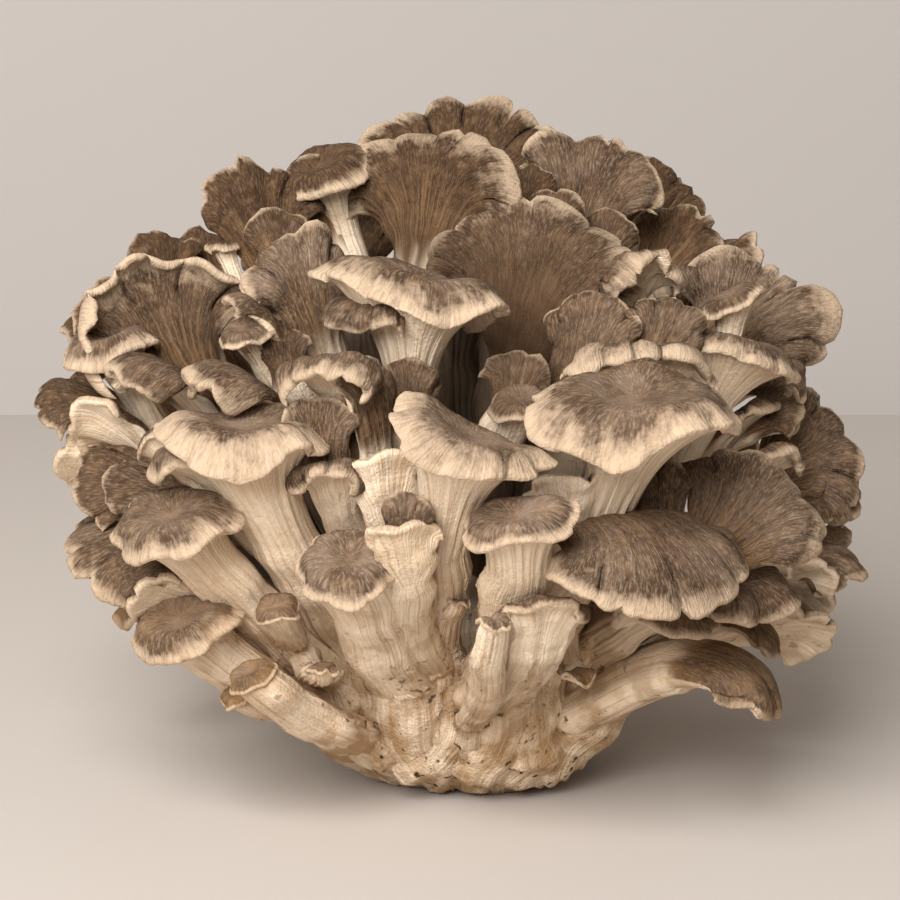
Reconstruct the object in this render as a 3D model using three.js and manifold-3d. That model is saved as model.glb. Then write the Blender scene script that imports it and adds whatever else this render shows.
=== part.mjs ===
// Maitake (hen of the woods): one cut cluster standing on its trimmed foot.
// Millimetres, +Z up. The origin is on the flat cut under the foot, and -Y is the front.
// The trunk is the shared base. Every frond is a stalk that opens into a fan, or into a trumpet
// with a round cap, and is a mesh of its own, together with any that fork from its stalk.
import * as THREE from "three";
import { ParametricGeometry } from "three/addons/geometries/ParametricGeometry.js";
import { mergeVertices } from "three/addons/utils/BufferGeometryUtils.js";
import Module from "manifold-3d";

// Driving dimensions.
const GAP = 0.35; // clearance between neighbouring pieces
const ROOT_HEIGHT = 3; // of the lowest root, inside the trunk
const ROOT_SHARE = 0.2; // how far a root stands out and up, as a share of its rim's place
const FORK_AT = 0.45; // where a forked frond leaves the stalk it grows on, along that stalk
const STALK_WIDTH = 13;
const STALK_FLATNESS = 0.66; // a stalk's thickness over its width
const WELD = 1e-3;
const TIDY = 0.1; // how far tidying away slivers may move a surface

// Fans.
const FAN_THICKNESS = 3.4; // at the middle of a fan
const RIM_THICKNESS = 2.4;
const CURL_SHARE = 0.3; // the share of a fan's length that curls over at the rim
const RIM_ARC = 85; // half the arc that a fan's rim makes round its neck, degrees
const FLARE_START = 1.15; // where a stalk starts to widen, in fan lengths from the rim

// Trumpets: heights over the length of the cap, from the plane of its rim.
const CAP_BULGE = 0.25;
const CAP_DIP = 0.18; // from the bulge to the middle of the cap
const RIM_HANG = 0.1; // how far the rim hangs below its plane
const STALK_END = 0.4; // where the stalk ends and the funnel ends, along a trumpet's surface
const FUNNEL_END = 0.7;

// The foot of the trunk: radius against height, and how far each axis stretches it.
const TRUNK_PROFILE = [
  [0, 0], [17, 0], [24, 4], [35, 12], [39, 22], [37, 36], [29, 48], [20, 56], [0, 62],
];
const TRUNK_SIDES = 18;
const TRUNK_STRETCH = [1.15, 1.08];
const TRUNK_CENTRE = [6, -3];

const COLOURS = {
  flesh: 0xd9c3a3,
  cap: 0x8d7059,
};

// Each frond: name, the middle of its rim, the way its cap points (heading from the front, towards
// +X, and pitch above level), the width and length of its cap, and what else sets it apart:
// funnel, the depth of a trumpet's funnel; lip, the degrees that a rim curls under (or up, below
// 0), and curl, the share of the cap that does; cup, the degrees that its sides wrap up (or down);
// roll, its turn about its own length; stalk, the stalk's width; on, the frond it forks from.
const FRONDS = [
  // The crown: upright fans that show their upper faces to the front.
  ["crown_1", [3, 52, 186], 178, 78, 68, 42, { lip: 50 }],
  ["crown_1_back", [-14, 66, 174], -175, 62, 40, 28, { cup: 12, on: "crown_1" }],
  ["crown_2", [-4, 6, 181], 162, 72, 56, 40, { spread: 108, lip: 70, curl: 0.32, cup: 16 }],
  ["crown_3", [-54, 4, 172], -172, 76, 34, 34, { spread: 98, lip: 60, cup: 16 }],
  ["crown_3_side", [-48, -8, 161], -170, 72, 18, 16, { on: "crown_3" }],
  ["crown_3_back", [-75, 26, 150], -150, 60, 20, 22, { lip: 60, on: "crown_3" }],
  ["crown_4", [-45, 0, 163], -58, -30, 32, 26, { funnel: 20 }],
  ["crown_4_back", [-36, 12, 174], -165, 70, 26, 26, { lip: 50, on: "crown_4" }],
  ["crown_5", [40, 26, 178], 166, 76, 42, 42, { spread: 96, lip: 50, cup: 12 }],
  ["crown_5_side", [45, 4, 159], 160, 74, 18, 18, { on: "crown_5" }],
  ["crown_5_back", [39, 60, 164], 165, 64, 38, 28, { cup: 12, on: "crown_5" }],
  ["crown_6", [71, 32, 155], 112, 52, 28, 24, { roll: -50, spread: 100, lip: 50 }],
  ["crown_6_side", [57, 46, 168], 170, 68, 24, 24, { lip: 60, on: "crown_6" }],
  ["crown_6_low", [69, 42, 160], 120, 38, 18, 16, { roll: -40, lip: 60, on: "crown_6" }],
  ["crown_7", [30, -10, 162], 148, 60, 64, 50, { roll: -14, spread: 96, lip: 60, curl: 0.25, cup: 20 }],
  ["crown_8", [22, 14, 170], 165, 76, 20, 20, { lip: 50 }],
  ["crown_8_side", [30, 3, 165], 160, 76, 20, 16, { lip: 50, on: "crown_8" }],
  ["crown_9", [-43, -32, 157], -152, 66, 30, 32, { roll: 10, spread: 104, lip: 70, cup: 22 }],
  ["crown_9_side", [-67, -6, 150], -80, -6, 12, 10, { funnel: 10, stalk: 8, on: "crown_9" }],
  ["crown_9_low", [-44, -44, 134], 180, 66, 14, 14, { cup: 30, on: "crown_9" }],
  // The front.
  ["front_1", [-7, -74, 148], 6, 4, 50, 36, { roll: 14, funnel: 34, stalk: 13 }],
  ["front_1_side", [-28, -64, 137], -50, -36, 30, 26, { lip: 50, cup: -20, on: "front_1" }],
  ["front_2", [-33, -82, 129], -18, 30, 34, 26, { lip: 90, curl: 0.45, cup: -26 }],
  ["front_3", [-34, -70, 121], 178, 68, 20, 22, { lip: 30, cup: 34 }],
  ["front_3_dark", [-24, -62, 120], 180, 70, 18, 20, { cup: 20, on: "front_3" }],
  ["front_3_side", [-25, -66, 130], -140, 60, 18, 24, { lip: 30, cup: 30, on: "front_3" }],
  ["front_4", [-12, -60, 129], 180, 74, 18, 18, { spread: 95, cup: 16 }],
  ["front_4_side", [18, -56, 130], 178, 68, 18, 16, { spread: 95, cup: 24, on: "front_4" }],
  ["front_4_low", [17, -72, 115], -12, -26, 17, 15, { funnel: 16, stalk: 10, on: "front_4" }],
  ["front_5", [6, -112, 112], 8, -16, 43, 25, { roll: 24, funnel: 32, stalk: 14 }],
  ["front_6", [-28, -100, 75], -14, -34, 28, 24, { funnel: 14, stalk: 20 }],
  ["front_7", [-12, -102, 95], 4, 76, 20, 20, { lip: 44, cup: 50 }],
  ["front_8", [-32, -84, 103], -6, 36, 26, 20, { lip: 84, curl: 0.42, cup: -30 }],
  ["front_9", [-16, -84, 109], 6, 78, 21, 24, { lip: 26, cup: 56 }],
  ["front_9_side", [-10, -94, 101], 170, 68, 13, 14, { cup: 30, on: "front_9" }],
  ["front_10", [16, -112, 92], -4, -22, 29, 21, { roll: -14, funnel: 16, stalk: 17 }],
  ["front_11", [35, -84, 104], 20, 70, 30, 30, { lip: 16, cup: 50 }],
  // The right side.
  ["right_1", [99, 0, 138], 100, 30, 58, 44, { roll: -60, spread: 102, lip: 60 }],
  ["right_1_back", [84, 28, 148], 120, 50, 40, 32, { on: "right_1" }],
  ["right_2", [55, -42, 151], 34, 40, 33, 26, { lip: 74, curl: 0.4, cup: -32 }],
  ["right_3", [40, -48, 144], 152, 70, 24, 34, { roll: -10, cup: 26, lip: 36 }],
  ["right_3_side", [59, -50, 142], 150, 50, 25, 19, { roll: -24, lip: 50, on: "right_3" }],
  ["right_4", [51, -76, 133], 6, 36, 44, 30, { lip: 80, curl: 0.36, cup: -24 }],
  ["right_5", [82, -52, 127], 30, -2, 42, 28, { roll: 18, funnel: 24 }],
  ["right_5_side", [77, -38, 140], 12, 2, 19, 15, { roll: -24, funnel: 14, stalk: 9, on: "right_5" }],
  ["right_6", [49, -106, 116], 6, -17, 54, 38, { funnel: 32, stalk: 15 }],
  ["right_7", [86, -55, 98], 130, 50, 48, 38, { roll: -36, spread: 100, lip: 84, curl: 0.32 }],
  ["right_7_side", [55, -60, 102], 180, 74, 16, 22, { cup: 20, on: "right_7" }],
  ["right_8", [112, -5, 98], 96, 24, 38, 32, { roll: -60, spread: 100, lip: 50 }],
  ["right_8_side", [91, -36, 98], 32, 38, 25, 20, { lip: 76, curl: 0.36, cup: -30, on: "right_8" }],
  ["right_9", [115, 0, 81], 95, 4, 26, 24, { roll: -36, lip: 60 }],
  ["right_9_side", [107, -14, 78], 84, -8, 20, 20, { roll: -20, lip: 60, on: "right_9" }],
  ["right_10", [113, -14, 61], 82, -18, 30, 28, { roll: -24, lip: 50 }],
  ["right_10_low", [106, -22, 53], 76, -30, 30, 26, { roll: 56, lip: 20, on: "right_10" }],
  ["right_11", [85, -70, 61], 50, -44, 42, 30, { lip: 30, cup: -10, stalk: 18 }],
  ["right_11_side", [64, -80, 59], 40, -40, 24, 18, { on: "right_11" }],
  ["right_12", [105, -28, 45], 82, -14, 32, 32, { roll: 50, lip: 20 }],
  ["right_12_side", [87, -46, 45], 70, -60, 15, 18, { lip: 30, on: "right_12" }],
  ["right_13", [88, -30, 110], 60, 28, 22, 18, { lip: 60 }],
  ["right_13_side", [96, -22, 110], 84, 20, 18, 18, { roll: -40, lip: 50, on: "right_13" }],
  ["right_14", [60, -103, 71], 34, -50, 66, 54, { lip: 24, cup: -16, stalk: 24 }],
  ["right_15", [85, -66, 34], 78, -66, 32, 30, { lip: 30, cup: -24, stalk: 22 }],
  // The left side.
  ["left_1", [-83, -18, 149], -150, 62, 56, 42, { roll: 16, spread: 102, lip: -96, curl: 0.22, cup: 24 }],
  ["left_1_low", [-102, -14, 136], -100, 16, 24, 24, { roll: 50, lip: 30, on: "left_1" }],
  ["left_1_back", [-82, 14, 151], -155, 62, 22, 22, { lip: 60, on: "left_1" }],
  ["left_2", [-103, -30, 124], -62, -12, 30, 26, { funnel: 18 }],
  ["left_2_back", [-107, -4, 127], -95, 10, 26, 22, { lip: 50, on: "left_2" }],
  ["left_3", [-88, -48, 122], -55, 24, 34, 36, { lip: 72, curl: 0.4, cup: -26 }],
  ["left_4", [-67, -66, 124], -60, 24, 32, 38, { lip: 62, curl: 0.4, cup: -26 }],
  ["left_5", [-59, -50, 142], -74, 16, 13, 20, { lip: 60, stalk: 9 }],
  ["left_5_side", [-58, -54, 131], -40, -26, 15, 14, { funnel: 9, stalk: 8, on: "left_5" }],
  ["left_5_back", [-50, -38, 137], -20, 4, 21, 16, { funnel: 20, stalk: 9, on: "left_5" }],
  ["left_6", [-57, -88, 109], -14, -8, 45, 33, { funnel: 34, stalk: 18 }],
  ["left_6_lobe", [-75, -70, 102], -50, -18, 30, 26, { roll: -8, funnel: 16, on: "left_6" }],
  ["left_6_side", [-82, -60, 105], -60, -14, 20, 14, { roll: -36, funnel: 12, stalk: 9, on: "left_6" }],
  ["left_7", [-113, -12, 108], -95, 0, 28, 26, { roll: 24, lip: 60 }],
  ["left_7_side", [-103, -28, 107], -88, 22, 24, 28, { roll: -50, lip: 40, on: "left_7" }],
  ["left_7_low", [-108, -14, 88], -100, -18, 32, 26, { roll: -60, lip: 20, on: "left_7" }],
  ["left_8", [-101, -26, 93], -95, 15, 32, 38, { roll: 50, cup: 20 }],
  ["left_8_side", [-93, -40, 91], -80, 10, 16, 34, { roll: 66, on: "left_8" }],
  ["left_9", [-78, -78, 81], -30, -28, 38, 28, { roll: -8, funnel: 18, stalk: 20 }],
  ["left_10", [-103, -36, 72], -86, -10, 48, 44, { roll: 32, lip: 40, stalk: 20 }],
  ["left_10_side", [-85, -58, 64], -62, 8, 22, 30, { roll: -50, lip: 20, on: "left_10" }],
  ["left_11", [-79, -67, 51], -48, -30, 34, 26, { funnel: 14, stalk: 22 }],
  // Short aborted fronds low on the foot.
  ["foot_1", [12, -102, 68], 10, -10, 9, 8, { funnel: 8, stalk: 9 }],
  ["foot_2", [26, -98, 73], 16, 62, 25, 18, { lip: 70, curl: 0.34, cup: 20, stalk: 20 }],
  ["foot_3", [-56, -78, 45], -52, -30, 14, 13, { funnel: 9, stalk: 17 }],
  ["foot_3_side", [-57, -60, 40], -70, -18, 14, 13, { funnel: 9, stalk: 13, on: "foot_3" }],
  // The back.
  ["back_1", [-85, 52, 125], -125, 42, 50, 38, { cup: 14, lip: 60, stalk: 18 }],
  ["back_1_side", [-62, 66, 112], -140, 26, 34, 26, { lip: 80, on: "back_1" }],
  ["back_2", [-40, 62, 155], -160, 64, 48, 38, { cup: 18, lip: 60, stalk: 18 }],
  ["back_2_side", [-55, 40, 163], -150, 70, 30, 26, { lip: 60, on: "back_2" }],
  ["back_3", [15, 78, 145], 175, 56, 54, 40, { cup: 14, lip: 60, stalk: 18 }],
  ["back_3_side", [-12, 84, 124], -170, 26, 36, 26, { lip: 80, on: "back_3" }],
  ["back_4", [60, 64, 143], 140, 54, 48, 38, { cup: 14, lip: 60, stalk: 18 }],
  ["back_4_side", [42, 86, 120], 160, 22, 36, 26, { lip: 80, on: "back_4" }],
  ["back_5", [98, 45, 112], 115, 28, 48, 38, { lip: 60, stalk: 18 }],
  ["back_5_low", [104, 32, 40], 105, -20, 38, 28, { lip: 50, on: "back_5" }],
  ["back_6", [-108, 40, 85], -115, 14, 46, 36, { lip: 60, stalk: 18 }],
  ["back_6_low", [-96, 26, 36], -95, -20, 36, 28, { lip: 50, on: "back_6" }],
  ["back_7", [-72, 86, 86], -145, 18, 50, 38, { lip: 60, stalk: 18 }],
  ["back_7_low", [-84, 68, 46], -130, -12, 42, 32, { lip: 50, on: "back_7" }],
  ["back_8", [-16, 104, 98], -175, 26, 52, 40, { lip: 60, stalk: 18 }],
  ["back_8_low", [-38, 100, 52], -160, -15, 46, 34, { lip: 50, on: "back_8" }],
  ["back_9", [44, 98, 92], 155, 22, 52, 38, { lip: 60, stalk: 18 }],
  ["back_9_low", [18, 106, 48], 170, -15, 48, 34, { lip: 50, on: "back_9" }],
  ["back_10", [88, 74, 78], 130, 14, 48, 36, { lip: 60, stalk: 18 }],
  ["back_10_low", [68, 88, 40], 140, -20, 44, 32, { lip: 50, on: "back_10" }],
];

const UP = new THREE.Vector3(0, 0, 1);
const radians = THREE.MathUtils.degToRad;
const clamp01 = (x) => THREE.MathUtils.clamp(x, 0, 1);
const smooth = (x) => THREE.MathUtils.smoothstep(x, 0, 1);
const mix = THREE.MathUtils.lerp;

// How far a lip of this length and turn reaches short of flat, and under it.
function lipShift(length, turn) {
  const bend = length / (Math.abs(turn) < 0.01 ? 0.01 : turn);
  return [bend * Math.sin(turn) - length, bend * (1 - Math.cos(turn))];
}

// Two directions turned together, from the first towards the second.
function turned(first, second, angle) {
  const [c, s] = [Math.cos(angle), Math.sin(angle)];
  return [
    first.clone().multiplyScalar(c).addScaledVector(second, s),
    second.clone().multiplyScalar(c).addScaledVector(first, -s),
  ];
}

// A frond's spine, from its root to its rim or its cap's middle, and what its shape comes from.
function growFrond([name, tip, heading, pitch, width, blade, more], fronds) {
  const { lip = 40, curl = CURL_SHARE, cup = 0, roll = 0, spread = RIM_ARC } = more;
  const { funnel = 0, stalk = STALK_WIDTH, on = null } = more;
  const outward = new THREE.Vector3(Math.sin(radians(heading)), -Math.cos(radians(heading)), 0);
  const level = new THREE.Vector3().crossVectors(outward, UP);
  const along = outward
    .clone()
    .multiplyScalar(Math.cos(radians(pitch)))
    .addScaledVector(UP, Math.sin(radians(pitch)));
  const [side, face] = turned(level, new THREE.Vector3().crossVectors(level, along), radians(roll));
  const rim = new THREE.Vector3(...tip);
  const root = on
    ? fronds.get(on).spine.getPointAt(FORK_AT)
    : new THREE.Vector3(0, 0, ROOT_HEIGHT).addScaledVector(rim, ROOT_SHARE);

  const end = rim.clone();
  const neck = new THREE.Vector3();
  if (funnel) {
    end.addScaledVector(along, -blade / 2);
    const rise = end.clone().sub(root).normalize().add(face).normalize();
    neck.copy(end).addScaledVector(rise, -0.4 * end.distanceTo(root));
  } else {
    const [short, under] = lipShift(curl * blade, radians(lip));
    end.addScaledVector(along, -short).addScaledVector(face, under);
    neck.copy(end).addScaledVector(along, -blade);
  }
  const spine = new THREE.CubicBezierCurve3(root, root.clone().lerp(neck, 0.5), neck, end);
  const length = spine.getLength();
  return {
    name, on, rim, spine, length, level, along, side, face, width, blade, funnel,
    roll: funnel ? 0 : radians(roll),
    lip: radians(lip),
    lipLength: curl * blade,
    cup: radians(cup) / (width / 2),
    spread: radians(spread),
    stalk: on ? 0.75 * stalk : stalk,
    flare: Math.max(0.05, 1 - (FLARE_START * blade) / length),
  };
}

// The point, side and face directions of a frond's spine, at a distance along it.
function spineFrame(frond, distance) {
  const share = clamp01(distance / frond.length);
  const tangent = frond.spine.getTangentAt(share);
  const point = frond.spine
    .getPointAt(share)
    .addScaledVector(tangent, distance - share * frond.length);
  const side = frond.level.clone().addScaledVector(tangent, -frond.level.dot(tangent)).normalize();
  const face = new THREE.Vector3().crossVectors(side, tangent);
  const [turnedSide, turnedFace] = turned(side, face, frond.roll * smooth(share));
  return { point, tangent, side: turnedSide, face: turnedFace };
}

// The middle layer of a fan: s runs from the root to the rim, and a across it from -1 to 1.
// Lines of equal s are arcs that open from a straight stalk to the round rim of the cap.
function middleLayer(frond, s, a, margin) {
  const opened = clamp01((s - frond.flare) / (1 - frond.flare));
  const stalkHalf = frond.stalk / 2 + margin;
  const half = stalkHalf + (frond.width / 2 + margin - stalkHalf) * opened ** 1.5;
  const arc = Math.max(frond.spread * opened ** 1.1, 1e-3);
  const radius = half / Math.sin(Math.min(arc, Math.PI / 2));
  const curled = clamp01((s * frond.length - frond.length + frond.lipLength) / frond.lipLength);
  const [short, under] = lipShift(frond.lipLength * curled, frond.lip * curled);
  const reach = short + (s === 1 ? 3 * margin : 0);
  const across = (radius + reach) * Math.sin(a * arc);
  const forwards = s * frond.length - radius * (1 - Math.cos(a * arc)) + reach * Math.cos(a * arc);
  const { point, side, face } = spineFrame(frond, forwards);
  const wrap = frond.cup * smooth(opened) || 1e-6;
  const hub = 1 / wrap;
  return point
    .addScaledVector(side, (hub + under) * Math.sin(wrap * across))
    .addScaledVector(face, hub - (hub + under) * Math.cos(wrap * across));
}

// The two faces of a fan as one closed sleeve, wound round its middle layer. margin fattens it.
function fanSurface(frond, margin) {
  const step = 2e-3;
  return (u, v, target) => {
    const s = 1 - (1 - v) ** 1.6;
    const a = Math.cos(2 * Math.PI * u);
    const opened = clamp01((s - frond.flare) / (1 - frond.flare));
    const along = middleLayer(frond, Math.min(s + step, 1), a, margin)
      .sub(middleLayer(frond, Math.max(s - step, 0), a, margin));
    const across = middleLayer(frond, s, Math.min(a + step, 1), margin)
      .sub(middleLayer(frond, s, Math.max(a - step, -1), margin));
    const normal = new THREE.Vector3().crossVectors(across, along).normalize();
    const sheet = mix(FAN_THICKNESS, RIM_THICKNESS, opened);
    const thickness = mix(frond.stalk * STALK_FLATNESS, sheet, opened ** 0.5);
    const roundness = 2 + 6 * opened;
    const upper = u < 0.5 ? -1 : 1;
    const section = upper * Math.sqrt(Math.max(0, 1 - Math.abs(a) ** roundness));
    const closed = v === 0 || v === 1 ? 0 : 1;
    target.copy(middleLayer(frond, s, v === 0 ? 0 : a, margin));
    target.addScaledVector(normal, (thickness / 2 + margin) * section * closed);
  };
}

// A point of a trumpet's stalk, and one of its round cap: turn runs round from the front, share
// is the place along the stalk or out towards the rim, and height is above the rim's plane.
function stalkPoint(frond, share, turn, margin) {
  const { point, side, face } = spineFrame(frond, share * frond.length);
  const [wide, deep] = [frond.stalk / 2 + margin, (frond.stalk * STALK_FLATNESS) / 2 + margin];
  return point
    .addScaledVector(side, wide * Math.sin(turn))
    .addScaledVector(face, -deep * Math.cos(turn));
}

function capPoint(frond, share, turn, height, margin) {
  return frond.spine.v3
    .clone()
    .addScaledVector(frond.side, share * (frond.width / 2 + margin) * Math.sin(turn))
    .addScaledVector(frond.along, share * (frond.blade / 2 + margin) * Math.cos(turn))
    .addScaledVector(frond.face, height + frond.cup * (share * Math.sin(turn) * frond.width / 2) ** 2);
}

function capHeight(frond, share) {
  const bulge = CAP_BULGE * (1 - share ** 4) - CAP_DIP * (1 - share ** 2) ** 2;
  return frond.blade * (bulge - RIM_HANG * share ** 6);
}

// A trumpet, up its stalk, out along the underside of its funnel, and in over its cap.
function trumpetSurface(frond, margin) {
  const neck = 1 - frond.funnel / frond.length;
  return (u, v, target) => {
    const turn = -2 * Math.PI * u;
    if (v <= STALK_END) {
      const share = (v / STALK_END) * neck;
      target.copy(v === 0 ? frond.spine.v0 : stalkPoint(frond, share, turn, margin));
    } else if (v <= FUNNEL_END) {
      const opened = (v - STALK_END) / (FUNNEL_END - STALK_END);
      const start = stalkPoint(frond, neck, turn, margin);
      const middle = start
        .clone()
        .addScaledVector(spineFrame(frond, neck * frond.length).tangent, 0.7 * frond.funnel);
      const rim = capPoint(frond, 1, turn, -RIM_HANG * frond.blade, margin);
      target.copy(new THREE.QuadraticBezierCurve3(start, middle, rim).getPoint(opened));
    } else {
      const share = 1 - (v - FUNNEL_END) / (1 - FUNNEL_END);
      const out = v === 1 ? 0 : share ** 0.7;
      target.copy(capPoint(frond, out, turn, capHeight(frond, out) + margin, margin));
    }
  };
}

const wasm = await Module();
wasm.setup();

// A closed geometry as a solid: seams welded, and faces that welding flattened left out.
function toSolid(geometry) {
  const bare = new THREE.BufferGeometry().setAttribute("position", geometry.getAttribute("position"));
  bare.setIndex(geometry.getIndex());
  const welded = mergeVertices(bare, WELD);
  const faces = [];
  const index = welded.getIndex().array;
  for (let i = 0; i < index.length; i += 3) {
    const [a, b, c] = index.subarray(i, i + 3);
    if (a !== b && b !== c && c !== a) faces.push(a, b, c);
  }
  const mesh = new wasm.Mesh({
    numProp: 3,
    vertProperties: new Float32Array(welded.getAttribute("position").array),
    triVerts: new Uint32Array(faces),
  });
  return new wasm.Manifold(mesh);
}

function toGeometry(solid) {
  const mesh = solid.getMesh();
  return new THREE.BufferGeometry()
    .setAttribute("position", new THREE.BufferAttribute(new Float32Array(mesh.vertProperties), 3))
    .setIndex(new THREE.BufferAttribute(new Uint32Array(mesh.triVerts), 1));
}

function frondSolid(frond, margin = 0) {
  if (frond.funnel) return toSolid(new ParametricGeometry(trumpetSurface(frond, margin), 10, 14));
  const sections = frond.width > 34 ? [10, 8] : [8, 7];
  return toSolid(new ParametricGeometry(fanSurface(frond, margin), ...sections));
}
function trunkSolid(margin = 0) {
  const profile = TRUNK_PROFILE.map(([r, z], i) => {
    const last = i === TRUNK_PROFILE.length - 1;
    return new THREE.Vector2(r && r + margin, z + (last ? margin : 0));
  });
  const lathe = new THREE.LatheGeometry(profile, TRUNK_SIDES)
    .rotateX(Math.PI / 2)
    .scale(...TRUNK_STRETCH, 1)
    .translate(...TRUNK_CENTRE, 0);
  return toSolid(lathe);
}

const largest = (solid) =>
  solid.decompose().reduce((kept, piece) => (piece.volume() > kept.volume() ? piece : kept));

function overlaps(a, b) {
  const [p, q] = [a.boundingBox(), b.boundingBox()];
  return [0, 1, 2].every((k) => p.min[k] < q.max[k] && q.min[k] < p.max[k]);
}

// The trunk first, then the fronds from front to back: each one grows round those before it.
const cluster = new THREE.Group();
const skin = new THREE.MeshStandardMaterial({ color: COLOURS.cap, roughness: 0.85, metalness: 0 });
const flesh = new THREE.MeshStandardMaterial({ color: COLOURS.flesh, roughness: 0.8, metalness: 0 });

function addPiece(name, solid, material) {
  const mesh = new THREE.Mesh(toGeometry(solid), material);
  mesh.name = name;
  cluster.add(mesh);
}

const fronds = new Map();
for (const row of FRONDS) fronds.set(row[0], growFrond(row, fronds));

const distanceBack = (frond) => frond.rim.y;
const stems = [...fronds.values()].filter((frond) => !frond.on);
stems.sort((a, b) => distanceBack(a) - distanceBack(b));

// The room that a piece takes up is its own solid and the same solid fattened by the gap.
const taken = [trunkSolid(GAP).add(trunkSolid())];
addPiece("trunk", trunkSolid(), flesh);
for (const stem of stems) {
  const forks = [...fronds.values()].filter((frond) => frond.on === stem.name);
  const members = [stem, ...forks];
  let solid = members.map((frond) => frondSolid(frond)).reduce((whole, part) => whole.add(part));
  for (const other of taken) if (overlaps(solid, other)) solid = solid.subtract(other);
  addPiece(`frond_${stem.name}`, largest(solid.simplify(TIDY)), skin);
  taken.push(...members.map((frond) => frondSolid(frond, GAP).add(frondSolid(frond))));
}

export default cluster;
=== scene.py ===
"""Dresses a maitake cluster: ruffled, felted fronds in place of the plain ones of its frame."""

import math

import bpy
import numpy as np
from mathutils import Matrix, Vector


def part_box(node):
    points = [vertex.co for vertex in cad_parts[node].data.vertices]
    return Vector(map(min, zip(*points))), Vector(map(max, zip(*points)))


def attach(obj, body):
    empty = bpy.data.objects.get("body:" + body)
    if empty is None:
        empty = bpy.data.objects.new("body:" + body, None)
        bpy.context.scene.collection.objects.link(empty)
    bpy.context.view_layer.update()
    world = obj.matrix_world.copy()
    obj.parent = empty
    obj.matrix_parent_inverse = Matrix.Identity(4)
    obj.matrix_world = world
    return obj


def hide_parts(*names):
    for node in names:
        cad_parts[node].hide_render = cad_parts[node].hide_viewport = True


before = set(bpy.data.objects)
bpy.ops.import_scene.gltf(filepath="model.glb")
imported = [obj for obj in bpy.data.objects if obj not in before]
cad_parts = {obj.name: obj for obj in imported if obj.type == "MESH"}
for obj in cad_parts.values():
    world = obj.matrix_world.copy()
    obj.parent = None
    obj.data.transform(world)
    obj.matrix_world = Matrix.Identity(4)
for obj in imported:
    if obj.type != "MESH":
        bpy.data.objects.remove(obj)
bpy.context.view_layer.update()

bl_info = {
    "name": "Maitake cluster",
    "version": (1, 0, 0),
    "blender": (4, 5, 0),
    "location": "View3D > Sidebar > Maitake",
    "description": "Grows the trunk and the ruffled fronds of a maitake mushroom",
    "category": "Add Mesh",
}

MM = 0.001
TURN = 2 * math.pi

# Growth, in millimetres and degrees, as in the frame's own source.
ROOT_HEIGHT = 3  # of the lowest root, inside the trunk
ROOT_SHARE = 0.2  # how far a root stands out and up, as a share of its rim's place
FORK_AT = 0.45  # where a forked frond leaves the stalk it grows on, along that stalk
FORK_STALK = 0.75  # the width of a forked stalk over that of a whole one
STALK_FLATNESS = 0.66  # a stalk's thickness over its width
CURL_SHARE = 0.3  # the share of a fan's length that curls over at the rim
FLARE_START = 1.15  # where a stalk starts to widen, in fan lengths from the rim
CAP_BULGE = 0.25  # heights of a trumpet's cap over its length, from the plane of its rim
CAP_DIP = 0.18
RIM_HANG = 0.1

# The mesh: steps along a spine, and columns round a fan, a trumpet, the trunk and a stalk's foot.
SPINE_STEPS = 240
FAN_COLUMNS = (20, 90)  # fewest and most
TRUMPET_COLUMNS = (40, 150)
TRUNK_COLUMNS = 180
TRUNK_RINGS = 64
CUT_RINGS = 6
FOOT_COLUMNS = 28
FOOT_RINGS = 30

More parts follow.
